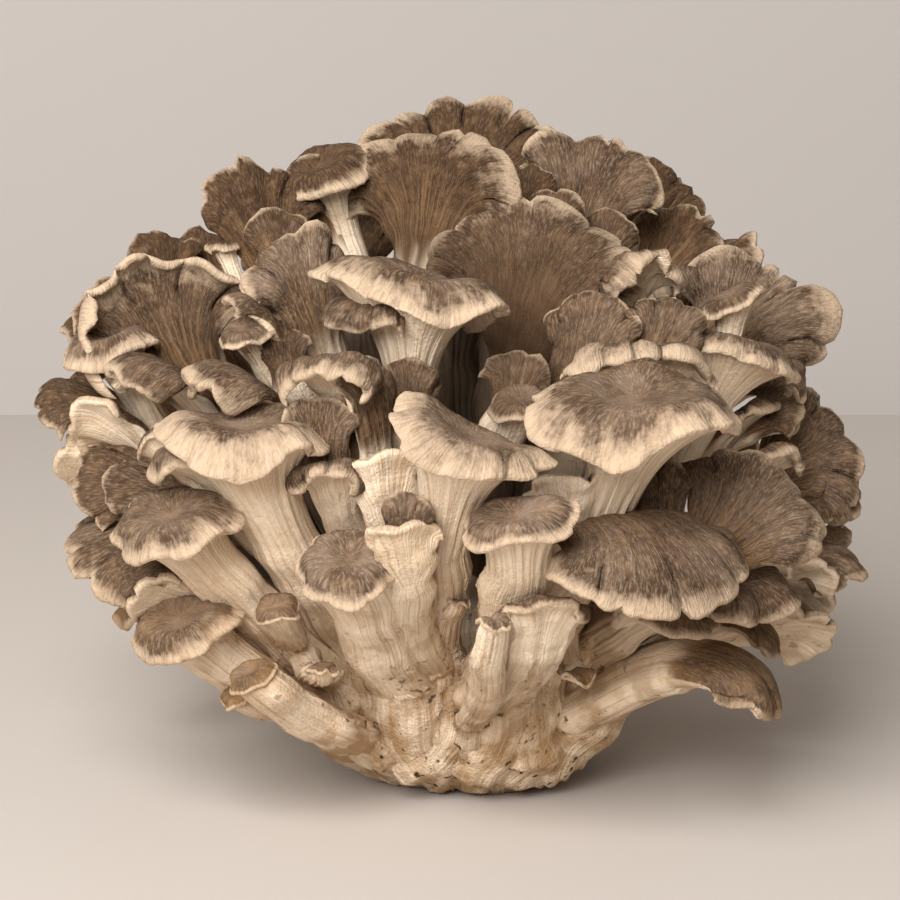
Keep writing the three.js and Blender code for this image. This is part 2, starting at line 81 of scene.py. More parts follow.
# Each frond: name, the middle of its rim, heading, pitch, width and length of its cap, and what
# else sets it apart: funnel, lip, curl, cup, roll, spread and stalk. A third word in a name, as in
# crown_1_back, means that it forks from the frond that the first two words name.
FRONDS = [
    # The crown: upright fans that show their upper faces to the front.
    ("crown_1", (3, 52, 186), 178, 78, 68, 42, {"lip": 50}),
    ("crown_1_back", (-14, 66, 174), -175, 62, 40, 28, {"cup": 12}),
    ("crown_2", (-4, 6, 181), 162, 72, 56, 40, {"spread": 108, "lip": 70, "curl": 0.32, "cup": 16}),
    ("crown_3", (-54, 4, 172), -172, 76, 34, 34, {"spread": 98, "lip": 60, "cup": 16}),
    ("crown_3_side", (-48, -8, 161), -170, 72, 18, 16, {}),
    ("crown_3_back", (-75, 26, 150), -150, 60, 20, 22, {"lip": 60}),
    ("crown_4", (-45, 0, 163), -58, -30, 32, 26, {"funnel": 20}),
    ("crown_4_back", (-36, 12, 174), -165, 70, 26, 26, {"lip": 50}),
    ("crown_5", (40, 26, 178), 166, 76, 42, 42, {"spread": 96, "lip": 50, "cup": 12}),
    ("crown_5_side", (45, 4, 159), 160, 74, 18, 18, {}),
    ("crown_5_back", (39, 60, 164), 165, 64, 38, 28, {"cup": 12}),
    ("crown_6", (71, 32, 155), 112, 52, 28, 24, {"roll": -50, "spread": 100, "lip": 50}),
    ("crown_6_side", (57, 46, 168), 170, 68, 24, 24, {"lip": 60}),
    ("crown_6_low", (69, 42, 160), 120, 38, 18, 16, {"roll": -40, "lip": 60}),
    ("crown_7", (30, -10, 162), 148, 60, 64, 50,
     {"roll": -14, "spread": 96, "lip": 60, "curl": 0.25, "cup": 20}),
    ("crown_8", (22, 14, 170), 165, 76, 20, 20, {"lip": 50}),
    ("crown_8_side", (30, 3, 165), 160, 76, 20, 16, {"lip": 50}),
    ("crown_9", (-43, -32, 157), -152, 66, 30, 32, {"roll": 10, "spread": 104, "lip": 70, "cup": 22}),
    ("crown_9_side", (-67, -6, 150), -80, -6, 12, 10, {"funnel": 10, "stalk": 8}),
    ("crown_9_low", (-44, -44, 134), 180, 66, 14, 14, {"cup": 30}),
    # The front.
    ("front_1", (-7, -74, 148), 6, 4, 50, 36, {"roll": 14, "funnel": 34, "stalk": 13}),
    ("front_1_side", (-28, -64, 137), -50, -36, 30, 26, {"lip": 50, "cup": -20}),
    ("front_2", (-33, -82, 129), -18, 30, 34, 26, {"lip": 90, "curl": 0.45, "cup": -26}),
    ("front_3", (-34, -70, 121), 178, 68, 20, 22, {"lip": 30, "cup": 34}),
    ("front_3_dark", (-24, -62, 120), 180, 70, 18, 20, {"cup": 20}),
    ("front_3_side", (-25, -66, 130), -140, 60, 18, 24, {"lip": 30, "cup": 30}),
    ("front_4", (-12, -60, 129), 180, 74, 18, 18, {"spread": 95, "cup": 16}),
    ("front_4_side", (18, -56, 130), 178, 68, 18, 16, {"spread": 95, "cup": 24}),
    ("front_4_low", (17, -72, 115), -12, -26, 17, 15, {"funnel": 16, "stalk": 10}),
    ("front_5", (6, -112, 112), 8, -16, 43, 25, {"roll": 24, "funnel": 32, "stalk": 14}),
    ("front_6", (-28, -100, 75), -14, -34, 28, 24, {"funnel": 14, "stalk": 20}),
    ("front_7", (-12, -102, 95), 4, 76, 20, 20, {"lip": 44, "cup": 50}),
    ("front_8", (-32, -84, 103), -6, 36, 26, 20, {"lip": 84, "curl": 0.42, "cup": -30}),
    ("front_9", (-16, -84, 109), 6, 78, 21, 24, {"lip": 26, "cup": 56}),
    ("front_9_side", (-10, -94, 101), 170, 68, 13, 14, {"cup": 30}),
    ("front_10", (16, -112, 92), -4, -22, 29, 21, {"roll": -14, "funnel": 16, "stalk": 17}),
    ("front_11", (35, -84, 104), 20, 70, 30, 30, {"lip": 16, "cup": 50}),
    # The right side.
    ("right_1", (99, 0, 138), 100, 30, 58, 44, {"roll": -60, "spread": 102, "lip": 60}),
    ("right_1_back", (84, 28, 148), 120, 50, 40, 32, {}),
    ("right_2", (55, -42, 151), 34, 40, 33, 26, {"lip": 74, "curl": 0.4, "cup": -32}),
    ("right_3", (40, -48, 144), 152, 70, 24, 34, {"roll": -10, "cup": 26, "lip": 36}),
    ("right_3_side", (59, -50, 142), 150, 50, 25, 19, {"roll": -24, "lip": 50}),
    ("right_4", (51, -76, 133), 6, 36, 44, 30, {"lip": 80, "curl": 0.36, "cup": -24}),
    ("right_5", (82, -52, 127), 30, -2, 42, 28, {"roll": 18, "funnel": 24}),
    ("right_5_side", (77, -38, 140), 12, 2, 19, 15, {"roll": -24, "funnel": 14, "stalk": 9}),
    ("right_6", (49, -106, 116), 6, -17, 54, 38, {"funnel": 32, "stalk": 15}),
    ("right_7", (86, -55, 98), 130, 50, 48, 38, {"roll": -36, "spread": 100, "lip": 84, "curl": 0.32}),
    ("right_7_side", (55, -60, 102), 180, 74, 16, 22, {"cup": 20}),
    ("right_8", (112, -5, 98), 96, 24, 38, 32, {"roll": -60, "spread": 100, "lip": 50}),
    ("right_8_side", (91, -36, 98), 32, 38, 25, 20, {"lip": 76, "curl": 0.36, "cup": -30}),
    ("right_9", (115, 0, 81), 95, 4, 26, 24, {"roll": -36, "lip": 60}),
    ("right_9_side", (107, -14, 78), 84, -8, 20, 20, {"roll": -20, "lip": 60}),
    ("right_10", (113, -14, 61), 82, -18, 30, 28, {"roll": -24, "lip": 50}),
    ("right_10_low", (106, -22, 53), 76, -30, 30, 26, {"roll": 56, "lip": 20}),
    ("right_11", (85, -70, 61), 50, -44, 42, 30, {"lip": 30, "cup": -10, "stalk": 18}),
    ("right_11_side", (64, -80, 59), 40, -40, 24, 18, {}),
    ("right_12", (105, -28, 45), 82, -14, 32, 32, {"roll": 50, "lip": 20}),
    ("right_12_side", (87, -46, 45), 70, -60, 15, 18, {"lip": 30}),
    ("right_13", (88, -30, 110), 60, 28, 22, 18, {"lip": 60}),
    ("right_13_side", (96, -22, 110), 84, 20, 18, 18, {"roll": -40, "lip": 50}),
    ("right_14", (60, -103, 71), 34, -50, 66, 54, {"lip": 24, "cup": -16, "stalk": 24}),
    ("right_15", (85, -66, 34), 78, -66, 32, 30, {"lip": 30, "cup": -24, "stalk": 22}),
    # The left side.
    ("left_1", (-83, -18, 149), -150, 62, 56, 42,
     {"roll": 16, "spread": 102, "lip": -96, "curl": 0.22, "cup": 24}),
    ("left_1_low", (-102, -14, 136), -100, 16, 24, 24, {"roll": 50, "lip": 30}),
    ("left_1_back", (-82, 14, 151), -155, 62, 22, 22, {"lip": 60}),
    ("left_2", (-103, -30, 124), -62, -12, 30, 26, {"funnel": 18}),
    ("left_2_back", (-107, -4, 127), -95, 10, 26, 22, {"lip": 50}),
    ("left_3", (-88, -48, 122), -55, 24, 34, 36, {"lip": 72, "curl": 0.4, "cup": -26}),
    ("left_4", (-67, -66, 124), -60, 24, 32, 38, {"lip": 62, "curl": 0.4, "cup": -26}),
    ("left_5", (-59, -50, 142), -74, 16, 13, 20, {"lip": 60, "stalk": 9}),
    ("left_5_side", (-58, -54, 131), -40, -26, 15, 14, {"funnel": 9, "stalk": 8}),
    ("left_5_back", (-50, -38, 137), -20, 4, 21, 16, {"funnel": 20, "stalk": 9}),
    ("left_6", (-57, -88, 109), -14, -8, 45, 33, {"funnel": 34, "stalk": 18}),
    ("left_6_lobe", (-75, -70, 102), -50, -18, 30, 26, {"roll": -8, "funnel": 16}),
    ("left_6_side", (-82, -60, 105), -60, -14, 20, 14, {"roll": -36, "funnel": 12, "stalk": 9}),
    ("left_7", (-113, -12, 108), -95, 0, 28, 26, {"roll": 24, "lip": 60}),
    ("left_7_side", (-103, -28, 107), -88, 22, 24, 28, {"roll": -50, "lip": 40}),
    ("left_7_low", (-108, -14, 88), -100, -18, 32, 26, {"roll": -60, "lip": 20}),
    ("left_8", (-101, -26, 93), -95, 15, 32, 38, {"roll": 50, "cup": 20}),
    ("left_8_side", (-93, -40, 91), -80, 10, 16, 34, {"roll": 66}),
    ("left_9", (-78, -78, 81), -30, -28, 38, 28, {"roll": -8, "funnel": 18, "stalk": 20}),
    ("left_10", (-103, -36, 72), -86, -10, 48, 44, {"roll": 32, "lip": 40, "stalk": 20}),
    ("left_10_side", (-85, -58, 64), -62, 8, 22, 30, {"roll": -50, "lip": 20}),
    ("left_11", (-79, -67, 51), -48, -30, 34, 26, {"funnel": 14, "stalk": 22}),
    # Short aborted fronds low on the foot.
    ("foot_1", (12, -102, 68), 10, -10, 9, 8, {"funnel": 8, "stalk": 9}),
    ("foot_2", (26, -98, 73), 16, 62, 25, 18, {"lip": 70, "curl": 0.34, "cup": 20, "stalk": 20}),
    ("foot_3", (-56, -78, 45), -52, -30, 14, 13, {"funnel": 9, "stalk": 17}),
    ("foot_3_side", (-57, -60, 40), -70, -18, 14, 13, {"funnel": 9, "stalk": 13}),
    # The back.
    ("back_1", (-85, 52, 125), -125, 42, 50, 38, {"cup": 14, "lip": 60, "stalk": 18}),
    ("back_1_side", (-62, 66, 112), -140, 26, 34, 26, {"lip": 80}),
    ("back_2", (-40, 62, 155), -160, 64, 48, 38, {"cup": 18, "lip": 60, "stalk": 18}),
    ("back_2_side", (-55, 40, 163), -150, 70, 30, 26, {"lip": 60}),
    ("back_3", (15, 78, 145), 175, 56, 54, 40, {"cup": 14, "lip": 60, "stalk": 18}),
    ("back_3_side", (-12, 84, 124), -170, 26, 36, 26, {"lip": 80}),
    ("back_4", (60, 64, 143), 140, 54, 48, 38, {"cup": 14, "lip": 60, "stalk": 18}),
    ("back_4_side", (42, 86, 120), 160, 22, 36, 26, {"lip": 80}),
    ("back_5", (98, 45, 112), 115, 28, 48, 38, {"lip": 60, "stalk": 18}),
    ("back_5_low", (104, 32, 40), 105, -20, 38, 28, {"lip": 50}),
    ("back_6", (-108, 40, 85), -115, 14, 46, 36, {"lip": 60, "stalk": 18}),
    ("back_6_low", (-96, 26, 36), -95, -20, 36, 28, {"lip": 50}),
    ("back_7", (-72, 86, 86), -145, 18, 50, 38, {"lip": 60, "stalk": 18}),
    ("back_7_low", (-84, 68, 46), -130, -12, 42, 32, {"lip": 50}),
    ("back_8", (-16, 104, 98), -175, 26, 52, 40, {"lip": 60, "stalk": 18}),
    ("back_8_low", (-38, 100, 52), -160, -15, 46, 34, {"lip": 50}),
    ("back_9", (44, 98, 92), 155, 22, 52, 38, {"lip": 60, "stalk": 18}),
    ("back_9_low", (18, 106, 48), 170, -15, 48, 34, {"lip": 50}),
    ("back_10", (88, 74, 78), 130, 14, 48, 36, {"lip": 60, "stalk": 18}),
    ("back_10_low", (68, 88, 40), 140, -20, 44, 32, {"lip": 50}),
]

# Brown-tipped buds low on the stalks, too small for nodes of their own, set out as the fronds are.
BUDS = [
    ("front_5_bud", (2, -74, 67), 0, 10, 7, 6, {"funnel": 6, "stalk": 8}),
    ("front_6_bud", (-18, -76, 62), -20, -10, 12, 9, {"funnel": 9, "stalk": 9}),
    ("front_6_bud_low", (-17, -64, 50), -10, 20, 9, 7, {"funnel": 7, "stalk": 9}),
    ("left_9_bud", (-48, -72, 61), -30, -30, 13, 12, {"funnel": 9, "stalk": 13}),
    ("foot_3_bud", (-38, -50, 25), -30, -40, 10, 8, {"funnel": 7, "stalk": 13}),
    ("front_6_bud_foot", (-9, -56, 38), 10, 0, 10, 7, {"funnel": 6, "stalk": 10}),
    ("left_9_bud_low", (-36, -68, 47), -40, 0, 9, 8, {"funnel": 7, "stalk": 11}),
    ("left_11_bud", (-60, -62, 36), -60, -30, 12, 9, {"funnel": 7, "stalk": 13}),
    ("right_14_bud", (36, -70, 45), 30, -10, 9, 8, {"funnel": 7, "stalk": 10}),
]

# The fronds whose rims stand out from the rest: how much more, or less, they ruffle.
RUFFLES = {
    "right_1": 1.1, "right_14": 0.45, "crown_7": 0.55, "crown_2": 0.5, "left_1": 0.9,
    "right_6": 1.6, "right_7": 0.6, "right_9": 1.5, "right_10": 1.5, "left_6": 1.4, "front_5": 1.3,
}

# The fronds whose rims are pale further in than the rest, and how much further.
PALE_RIMS = {
    "crown_2": 2.2, "crown_7": 1.4, "right_14": 1.5, "right_6": 1.5, "front_5": 1.7, "left_6": 2.0,
    "right_1": 1.7,
    "left_9": 1.6, "right_4": 1.8, "front_2": 1.4, "left_1": 2.2, "right_2": 1.4, "left_4": 1.5,
    "foot_1": 0.4, "foot_2": 0.6, "foot_3": 0.4, "foot_3_side": 0.3, "front_5_bud": 0.3,
    "front_6_bud": 0.3, "front_6_bud_low": 0.3, "left_9_bud": 0.3, "foot_3_bud": 0.3,
    "front_6_bud_foot": 0.1, "left_9_bud_low": 0.2, "left_11_bud": 0.3, "right_14_bud": 0.2,
}

# The fronds that are greyer and paler (above 0), or browner, than others at the same depth.
TONES = {
    "right_1": 1.0, "right_9": 0.6, "right_10": 0.6, "left_1": 0.1, "left_2": 0.4, "left_10": 0.3,
    "crown_1": 0.4, "crown_2": -0.3, "crown_3": -0.3, "crown_5": 0.7, "crown_9": 0.5, "crown_7": 0.25,
    "right_6": -0.3, "right_7": 0.5, "right_8": 0.5, "right_14": -0.35, "left_6": 0.3,
}

# What the materials read from each vertex, and how many numbers each value has; depth is how far inside the
# cluster a vertex lies, which sets the painted shade there.
VALUES = {"skin": 1, "opened": 1, "edge": 1, "streak": 1, "tone": 1, "depth": 1, "grain": 3}
PLACE_LIMIT = 0.02  # how far a frond may stand off its place in the frame, in metres
# Painted shade darkens whatever lies deep inside this ellipsoid round the middle of the cluster.
HEART = np.array([0, 0, 90])  # the middle of the cluster, and how far its outside is from there
OUTSIDE = np.array([116, 112, 94])
FOOT_LIMIT = 118  # the rim height up to which a stalk's foot shows on the trunk
GRAIN_STEP = 37  # between one frond's grain and the next one's, in millimetres
NO_RIM = 20  # how far away a rim is that isn't there, in rim widths
WHITE = (1, 1, 1, 1)
# The stains stand for real stains at the foot and also for painted shade over the low stalks.
SOIL_AND_SHADE_HEIGHT = 104  # how high stains and soil reach over the middle of the foot, in millimetres
SOIL_AND_SHADE_SPREAD = (0.55, 0.55, 1)  # and how much less they fade with each millimetre sideways

# The trunk's girth against its height, as shares of its widest and highest.
TRUNK_RISE = [0, 0.065, 0.194, 0.355, 0.58, 0.774, 0.903, 1]
TRUNK_GIRTH = [0.44, 0.62, 0.9, 1, 0.95, 0.74, 0.51, 0.2]

# The stage and the camera, in metres and degrees.
STAGE_HALF = 3
WALL_DISTANCE = 0.507
WALL_HEIGHT = 2.5
KEY_PLACE = (-0.4, -1.1, 0.95)
KEY_TARGET = (0, 0, 0.1)
KEY_SIZE = 1.0
FILL_COLOUR = (1.0, 0.94, 0.86, 1)
CAMERA_RISE = 12
CAMERA_DISTANCE = 0.9
CAMERA_TARGET = (0, 0, 0.092)
VIEW_WIDTH = 0.252
SENSOR = 36


def smooth(x):
    x = np.clip(x, 0, 1)
    return x * x * (3 - 2 * x)


def unit(v):
    return v / np.maximum(np.linalg.norm(v, axis=-1, keepdims=True), 1e-9)


def turned(first, second, angle):
    """Two directions turned together, from the first towards the second."""
    return first * np.cos(angle) + second * np.sin(angle), second * np.cos(angle) - first * np.sin(angle)


def lip_shift(length, turn):
    """How far a lip of this length and turn reaches short of flat, and under it."""
    turn = np.where(np.abs(turn) < 0.01, 0.01, turn)
    return length / turn * np.sin(turn) - length, length / turn * (1 - np.cos(turn))


def wave_of(rng, rates):
    """A sum of sines at these rates, about -1 to 1."""
    phases = rng.uniform(0, TURN, len(rates))
    heights = rng.uniform(0.5, 1.0, len(rates))
    heights /= np.sqrt(np.sum(heights**2) / 2) * 1.5

    def wave(x):
        return sum(h * np.sin(r * x + p) for h, r, p in zip(heights, rates, phases))

    return wave


def random_wave(rng, length, terms=4):
    """A smooth random curve whose humps are roughly this long."""
    return wave_of(rng, TURN / (length * rng.uniform(0.7, 1.6, terms)))


def ring_wave(rng, humps, terms=4):
    """A smooth random curve round a ring, with roughly this many humps."""
    return wave_of(rng, np.maximum(1, np.round(humps * rng.uniform(0.6, 1.5, terms))))


def scallops(phase):
    """Round lobes with sharp notches between them: 1 at a lobe's middle and 0 at a notch."""
    return 1 - (1 - np.abs(np.sin(phase))) ** 2


def stem_of(name):
    """The frond that this one forks from, if it does."""
    words = name.split("_")
    return "_".join(words[:2]) if len(words) > 2 else None


class Frond:
    """Where a frond grows, its spine from its root, and how its surface waves."""

    def __init__(self, row, fronds, shape, number):
        self.name, rim, heading, pitch, self.width, self.blade, more = row
        self.shape, self.number = shape, number
        self.on = stem_of(self.name)
        self.funnel = more.get("funnel", 0)
        self.lip = math.radians(more.get("lip", 40))
        self.lip_length = more.get("curl", CURL_SHARE) * self.blade
        self.cup = math.radians(more.get("cup", 0)) / (self.width / 2)
        self.spread = math.radians(more.get("spread", shape.rim_arc))
        self.stalk = more.get("stalk", shape.stalk_width) * (FORK_STALK if self.on else 1)
        heading, pitch = math.radians(heading), math.radians(pitch)
        roll = math.radians(more.get("roll", 0))
        outward = np.array([math.sin(heading), -math.cos(heading), 0])
        up = np.array([0, 0, 1.0])
        level = np.cross(outward, up)
        self.along = outward * math.cos(pitch) + up * math.sin(pitch)
        self.side, self.face = turned(level, np.cross(level, self.along), roll)
        rim = np.array(rim, float)
        root = fronds[self.on].at(FORK_AT) if self.on else [0, 0, ROOT_HEIGHT] + ROOT_SHARE * rim
        end, neck = self.set_end(root, rim)
        self.set_spine([root, (root + neck) / 2, neck, end], level, 0 if self.funnel else roll)
        size = np.clip(self.width / 40, 0.45, 1.3)
        lively = RUFFLES.get(self.name, 1)
        self.ruffle = shape.ruffle * size * lively
        self.lobe_depth = shape.lobe_depth * size * (0.4 + 0.6 * lively)
        self.lobe_width = shape.lobe_width * (0.55 + 0.45 * size)
        rng = np.random.default_rng(number)
        self.side_wave = random_wave(rng, 15)
        self.sway = random_wave(rng, 55, 3)
        self.lump = [random_wave(rng, length) for length in (9, 11, 6)]
        self.flute_drift = random_wave(rng, 60, 3)
        shade = rng.uniform(-0.2, 0.2) + TONES.get(self.name, 0)
        self.tone = float(np.clip(0.5 - (rim[1] + 45) / 110 + shade, 0, 1))
        self.rim_width = PALE_RIMS.get(self.name, 1) * size * rng.uniform(0.7, 1.2)
        self.set_waves(rng)

    def set_spine(self, corners, level, roll):
        t = np.linspace(0, 1, SPINE_STEPS)[:, None]
        u = 1 - t
        root, middle, neck, end = corners
        self.points = u**3 * root + 3 * u * u * t * middle + 3 * u * t * t * neck + t**3 * end
        steps = np.linalg.norm(np.diff(self.points, axis=0), axis=1)
        self.distance = np.concatenate([[0], np.cumsum(steps)])
        self.length = self.distance[-1]
        self.tangents = unit(np.gradient(self.points, self.distance, axis=0))
        side = unit(level - (self.tangents @ level)[:, None] * self.tangents)
        face = np.cross(side, self.tangents)
        turn = roll * smooth(self.distance / self.length)[:, None]
        self.sides, self.faces_out = turned(side, face, turn)

    def at(self, share):
        return np.array([np.interp(share * self.length, self.distance, c) for c in self.points.T])

    def frame_at(self, distance):
        """The point, side, face and tangent of the spine, at distances along it."""
        inside = np.clip(distance, 0, self.length)
        lines = (self.points, self.sides, self.faces_out, self.tangents)
        out = [np.stack([np.interp(inside, self.distance, c) for c in line.T], -1) for line in lines]
        return out[0] + (distance - inside)[..., None] * out[3], out[1], out[2], out[3]


class Fan(Frond):
    """A stalk that opens into a flat fan, with two faces and a rim that curls."""

    def set_end(self, root, rim):
        short, under = lip_shift(self.lip_length, self.lip)
        end = rim - short * self.along + under * self.face
        return end, end - self.blade * self.along

    def set_waves(self, rng):
        """The random waves of this fan's rim and faces."""
        self.flare = max(0.05, 1 - FLARE_START * self.blade / self.length)
        self.reach = self.width / 2 * self.spread / math.sin(min(self.spread, math.pi / 2))
        self.drift = random_wave(rng, 3 * self.lobe_width, 3)
        self.start = rng.uniform(0, math.pi)
        self.swell = random_wave(rng, 0.9 * self.width)
        self.ripple = random_wave(rng, 0.42 * self.width)
        self.lip_wave = random_wave(rng, 0.7 * self.width)
        self.depth_wave = random_wave(rng, 1.6 * self.shape.lobe_width)
        self.flute = random_wave(rng, 0.28, 6)

    def lobes(self, x, width):
        return scallops(math.pi * x / width + self.start + 0.9 * self.drift(x))

    def opened(self, s):
        """How far the fan has opened at s: 0 along the stalk, 1 at the rim."""
        return np.clip((s - self.flare) / (1 - self.flare), 0, 1)

    def middle_layer(self, s, a):
        """Points between the two faces: s runs from root to rim, and a across from -1 to 1."""
        opened = self.opened(s)
        along = s * self.length
        x = a * self.reach
        stalk_half = self.stalk / 2 * (1 + 0.1 * self.side_wave(along))
        half = stalk_half + (self.width / 2 - stalk_half) * opened**1.5
        half = half * (1 + 0.05 * opened * (1 - opened) * self.side_wave(along + 40 * a))
        arc = np.maximum(self.spread * opened**1.1, 1e-3)
        radius = half / np.sin(np.minimum(arc, math.pi / 2))
        radius = radius * (1 + 0.06 * opened * self.swell(x + 7))

        lobe = self.lobes(x, self.lobe_width)
        crimp = self.lobes(x + 50, 0.3 * self.shape.lobe_width)
        depth = self.lobe_depth * (0.75 + 0.35 * self.depth_wave(x))
        reach = opened**4 * (depth * (lobe - 0.7) + 0.12 * self.lobe_depth * (crimp - 0.7))
        curled = np.maximum(0, along + reach - (self.length - self.lip_length)) / self.lip_length
        turn = self.lip * (1 + 0.3 * self.lip_wave(x)) * curled
        short, under = lip_shift(self.lip_length * curled, turn)

        raised = self.ruffle * opened**2 * (0.75 * self.swell(x) + 0.4 * self.ripple(x) * opened)
        raised = raised - 0.7 * self.ruffle * smooth((opened - 0.62) / 0.38) * (1 - lobe) ** 1.5
        raised = raised + 0.7 * self.ruffle * opened * np.abs(a) ** 3 * self.side_wave(along)
        lumps = self.lump[0](a * half + 0.4 * along) * self.lump[1](along)
        raised = raised + 0.3 * lumps * (0.4 + opened)
        reach = reach + short + raised * np.sin(turn)

        angle = a * arc
        bend = 1.2 * self.sway(along) * (1 - opened) * smooth(s * 4)
        across = (radius + reach) * np.sin(angle) + bend
        forwards = along - radius * (1 - np.cos(angle)) + reach * np.cos(angle)
        lifted = raised * np.cos(turn) - under
        point, side, face, _ = self.frame_at(forwards)
        wrap = self.cup * smooth(opened)
        wrap = np.where(np.abs(wrap) < 1e-6, 1e-6, wrap)
        side_step = (1 / wrap - lifted) * np.sin(wrap * across)
        face_step = 1 / wrap - (1 / wrap - lifted) * np.cos(wrap * across)
        return point + side_step[..., None] * side + face_step[..., None] * face

    def rings(self):
        """Where the rings of the mesh lie: sparse on the stalk, close on the cap and its rim."""
        shape = self.shape
        stalk_end = self.flare * self.length
        rim_start = self.length - shape.rim_thickness / 2
        stalk = np.linspace(0, stalk_end, max(6, round(stalk_end / shape.stalk_step)), endpoint=False)
        steps = max(14, round((rim_start - stalk_end) / shape.cap_step))
        cap = np.linspace(stalk_end, rim_start, steps, endpoint=False)
        rounding = np.sin(np.linspace(0, 0.46 * math.pi, 5))
        rim = rim_start + shape.rim_thickness / 2 * rounding
        return np.concatenate([stalk, cap, rim]) / self.length

    def faces(self, s, a):
        """The upper and lower face of the fan over a grid of s and a."""
        shape, step = self.shape, 1.5e-3
        middle = self.middle_layer(s, a)
        ahead = self.middle_layer(s + step, a) - self.middle_layer(s - step, a)
        right, left = np.minimum(a + step, 1), np.maximum(a - step, -1)
        across = self.middle_layer(s, right) - self.middle_layer(s, left)
        normal = unit(np.cross(across, ahead))
        opened = self.opened(s)
        cap = shape.cap_thickness + (shape.rim_thickness - shape.cap_thickness) * opened
        blend = opened**0.5
        thickness = self.stalk * STALK_FLATNESS * (1 - blend) + cap * blend
        rim = np.clip((1 - s) * self.length / (shape.rim_thickness / 2), 0, 1)
        roundness = 2 + 6 * opened
        section = np.sqrt(np.maximum(0, 1 - np.abs(a) ** roundness)) * np.sqrt(1 - (1 - rim) ** 2)
        drift = 0.15 * self.flute_drift(s * self.length)
        flutes = shape.flute_depth * (1 - 0.85 * opened) * rim
        upper = flutes * self.flute(a + drift)
        lower = flutes * self.flute(a + drift + 5) + 0.2 * flutes * self.lump[2](s * self.length)
        top = middle + normal * ((thickness / 2 + upper) * section)[..., None]
        bottom = middle - normal * ((thickness / 2 + lower) * section)[..., None]
        return top, bottom

    def build(self):
        """Vertices in millimetres, faces, and the values that the materials read."""
        columns = int(np.clip(2 * self.reach / self.shape.column_width, *FAN_COLUMNS))
        s, a = np.broadcast_arrays(
            self.rings()[:, None], -np.cos(np.linspace(0, math.pi, columns + 1))[None, :]
        )
        top, bottom = self.faces(s, a)

        def sleeve(upper, lower):
            return np.concatenate([upper, lower[:, -2:0:-1]], axis=1)

        def both(value):
            return sleeve(value, value)

        opened = self.opened(s)
        x = a * self.reach
        fade = smooth((opened - 0.01 - 0.05 * self.ripple(x)) / 0.25)
        edge = np.minimum((1 - s) * self.length, (1 - np.abs(a)) * self.reach + 12 * (1 - opened))
        grain = (both(x), both(s * self.length), both(0 * s + GRAIN_STEP * self.number))
        values = {
            "skin": sleeve(fade, (self.lip < 0) * 0.9 * smooth((opened - 0.7) / 0.15)),
            "opened": both(opened),
            "edge": both(edge / self.rim_width),
            "streak": both(0 * s + 1),
            "tone": both(0 * s + self.tone),
            "grain": np.stack(grain, axis=-1),
        }
        vertices = sleeve(top, bottom)
        return vertices, sleeve_faces(*vertices.shape[:2]), values


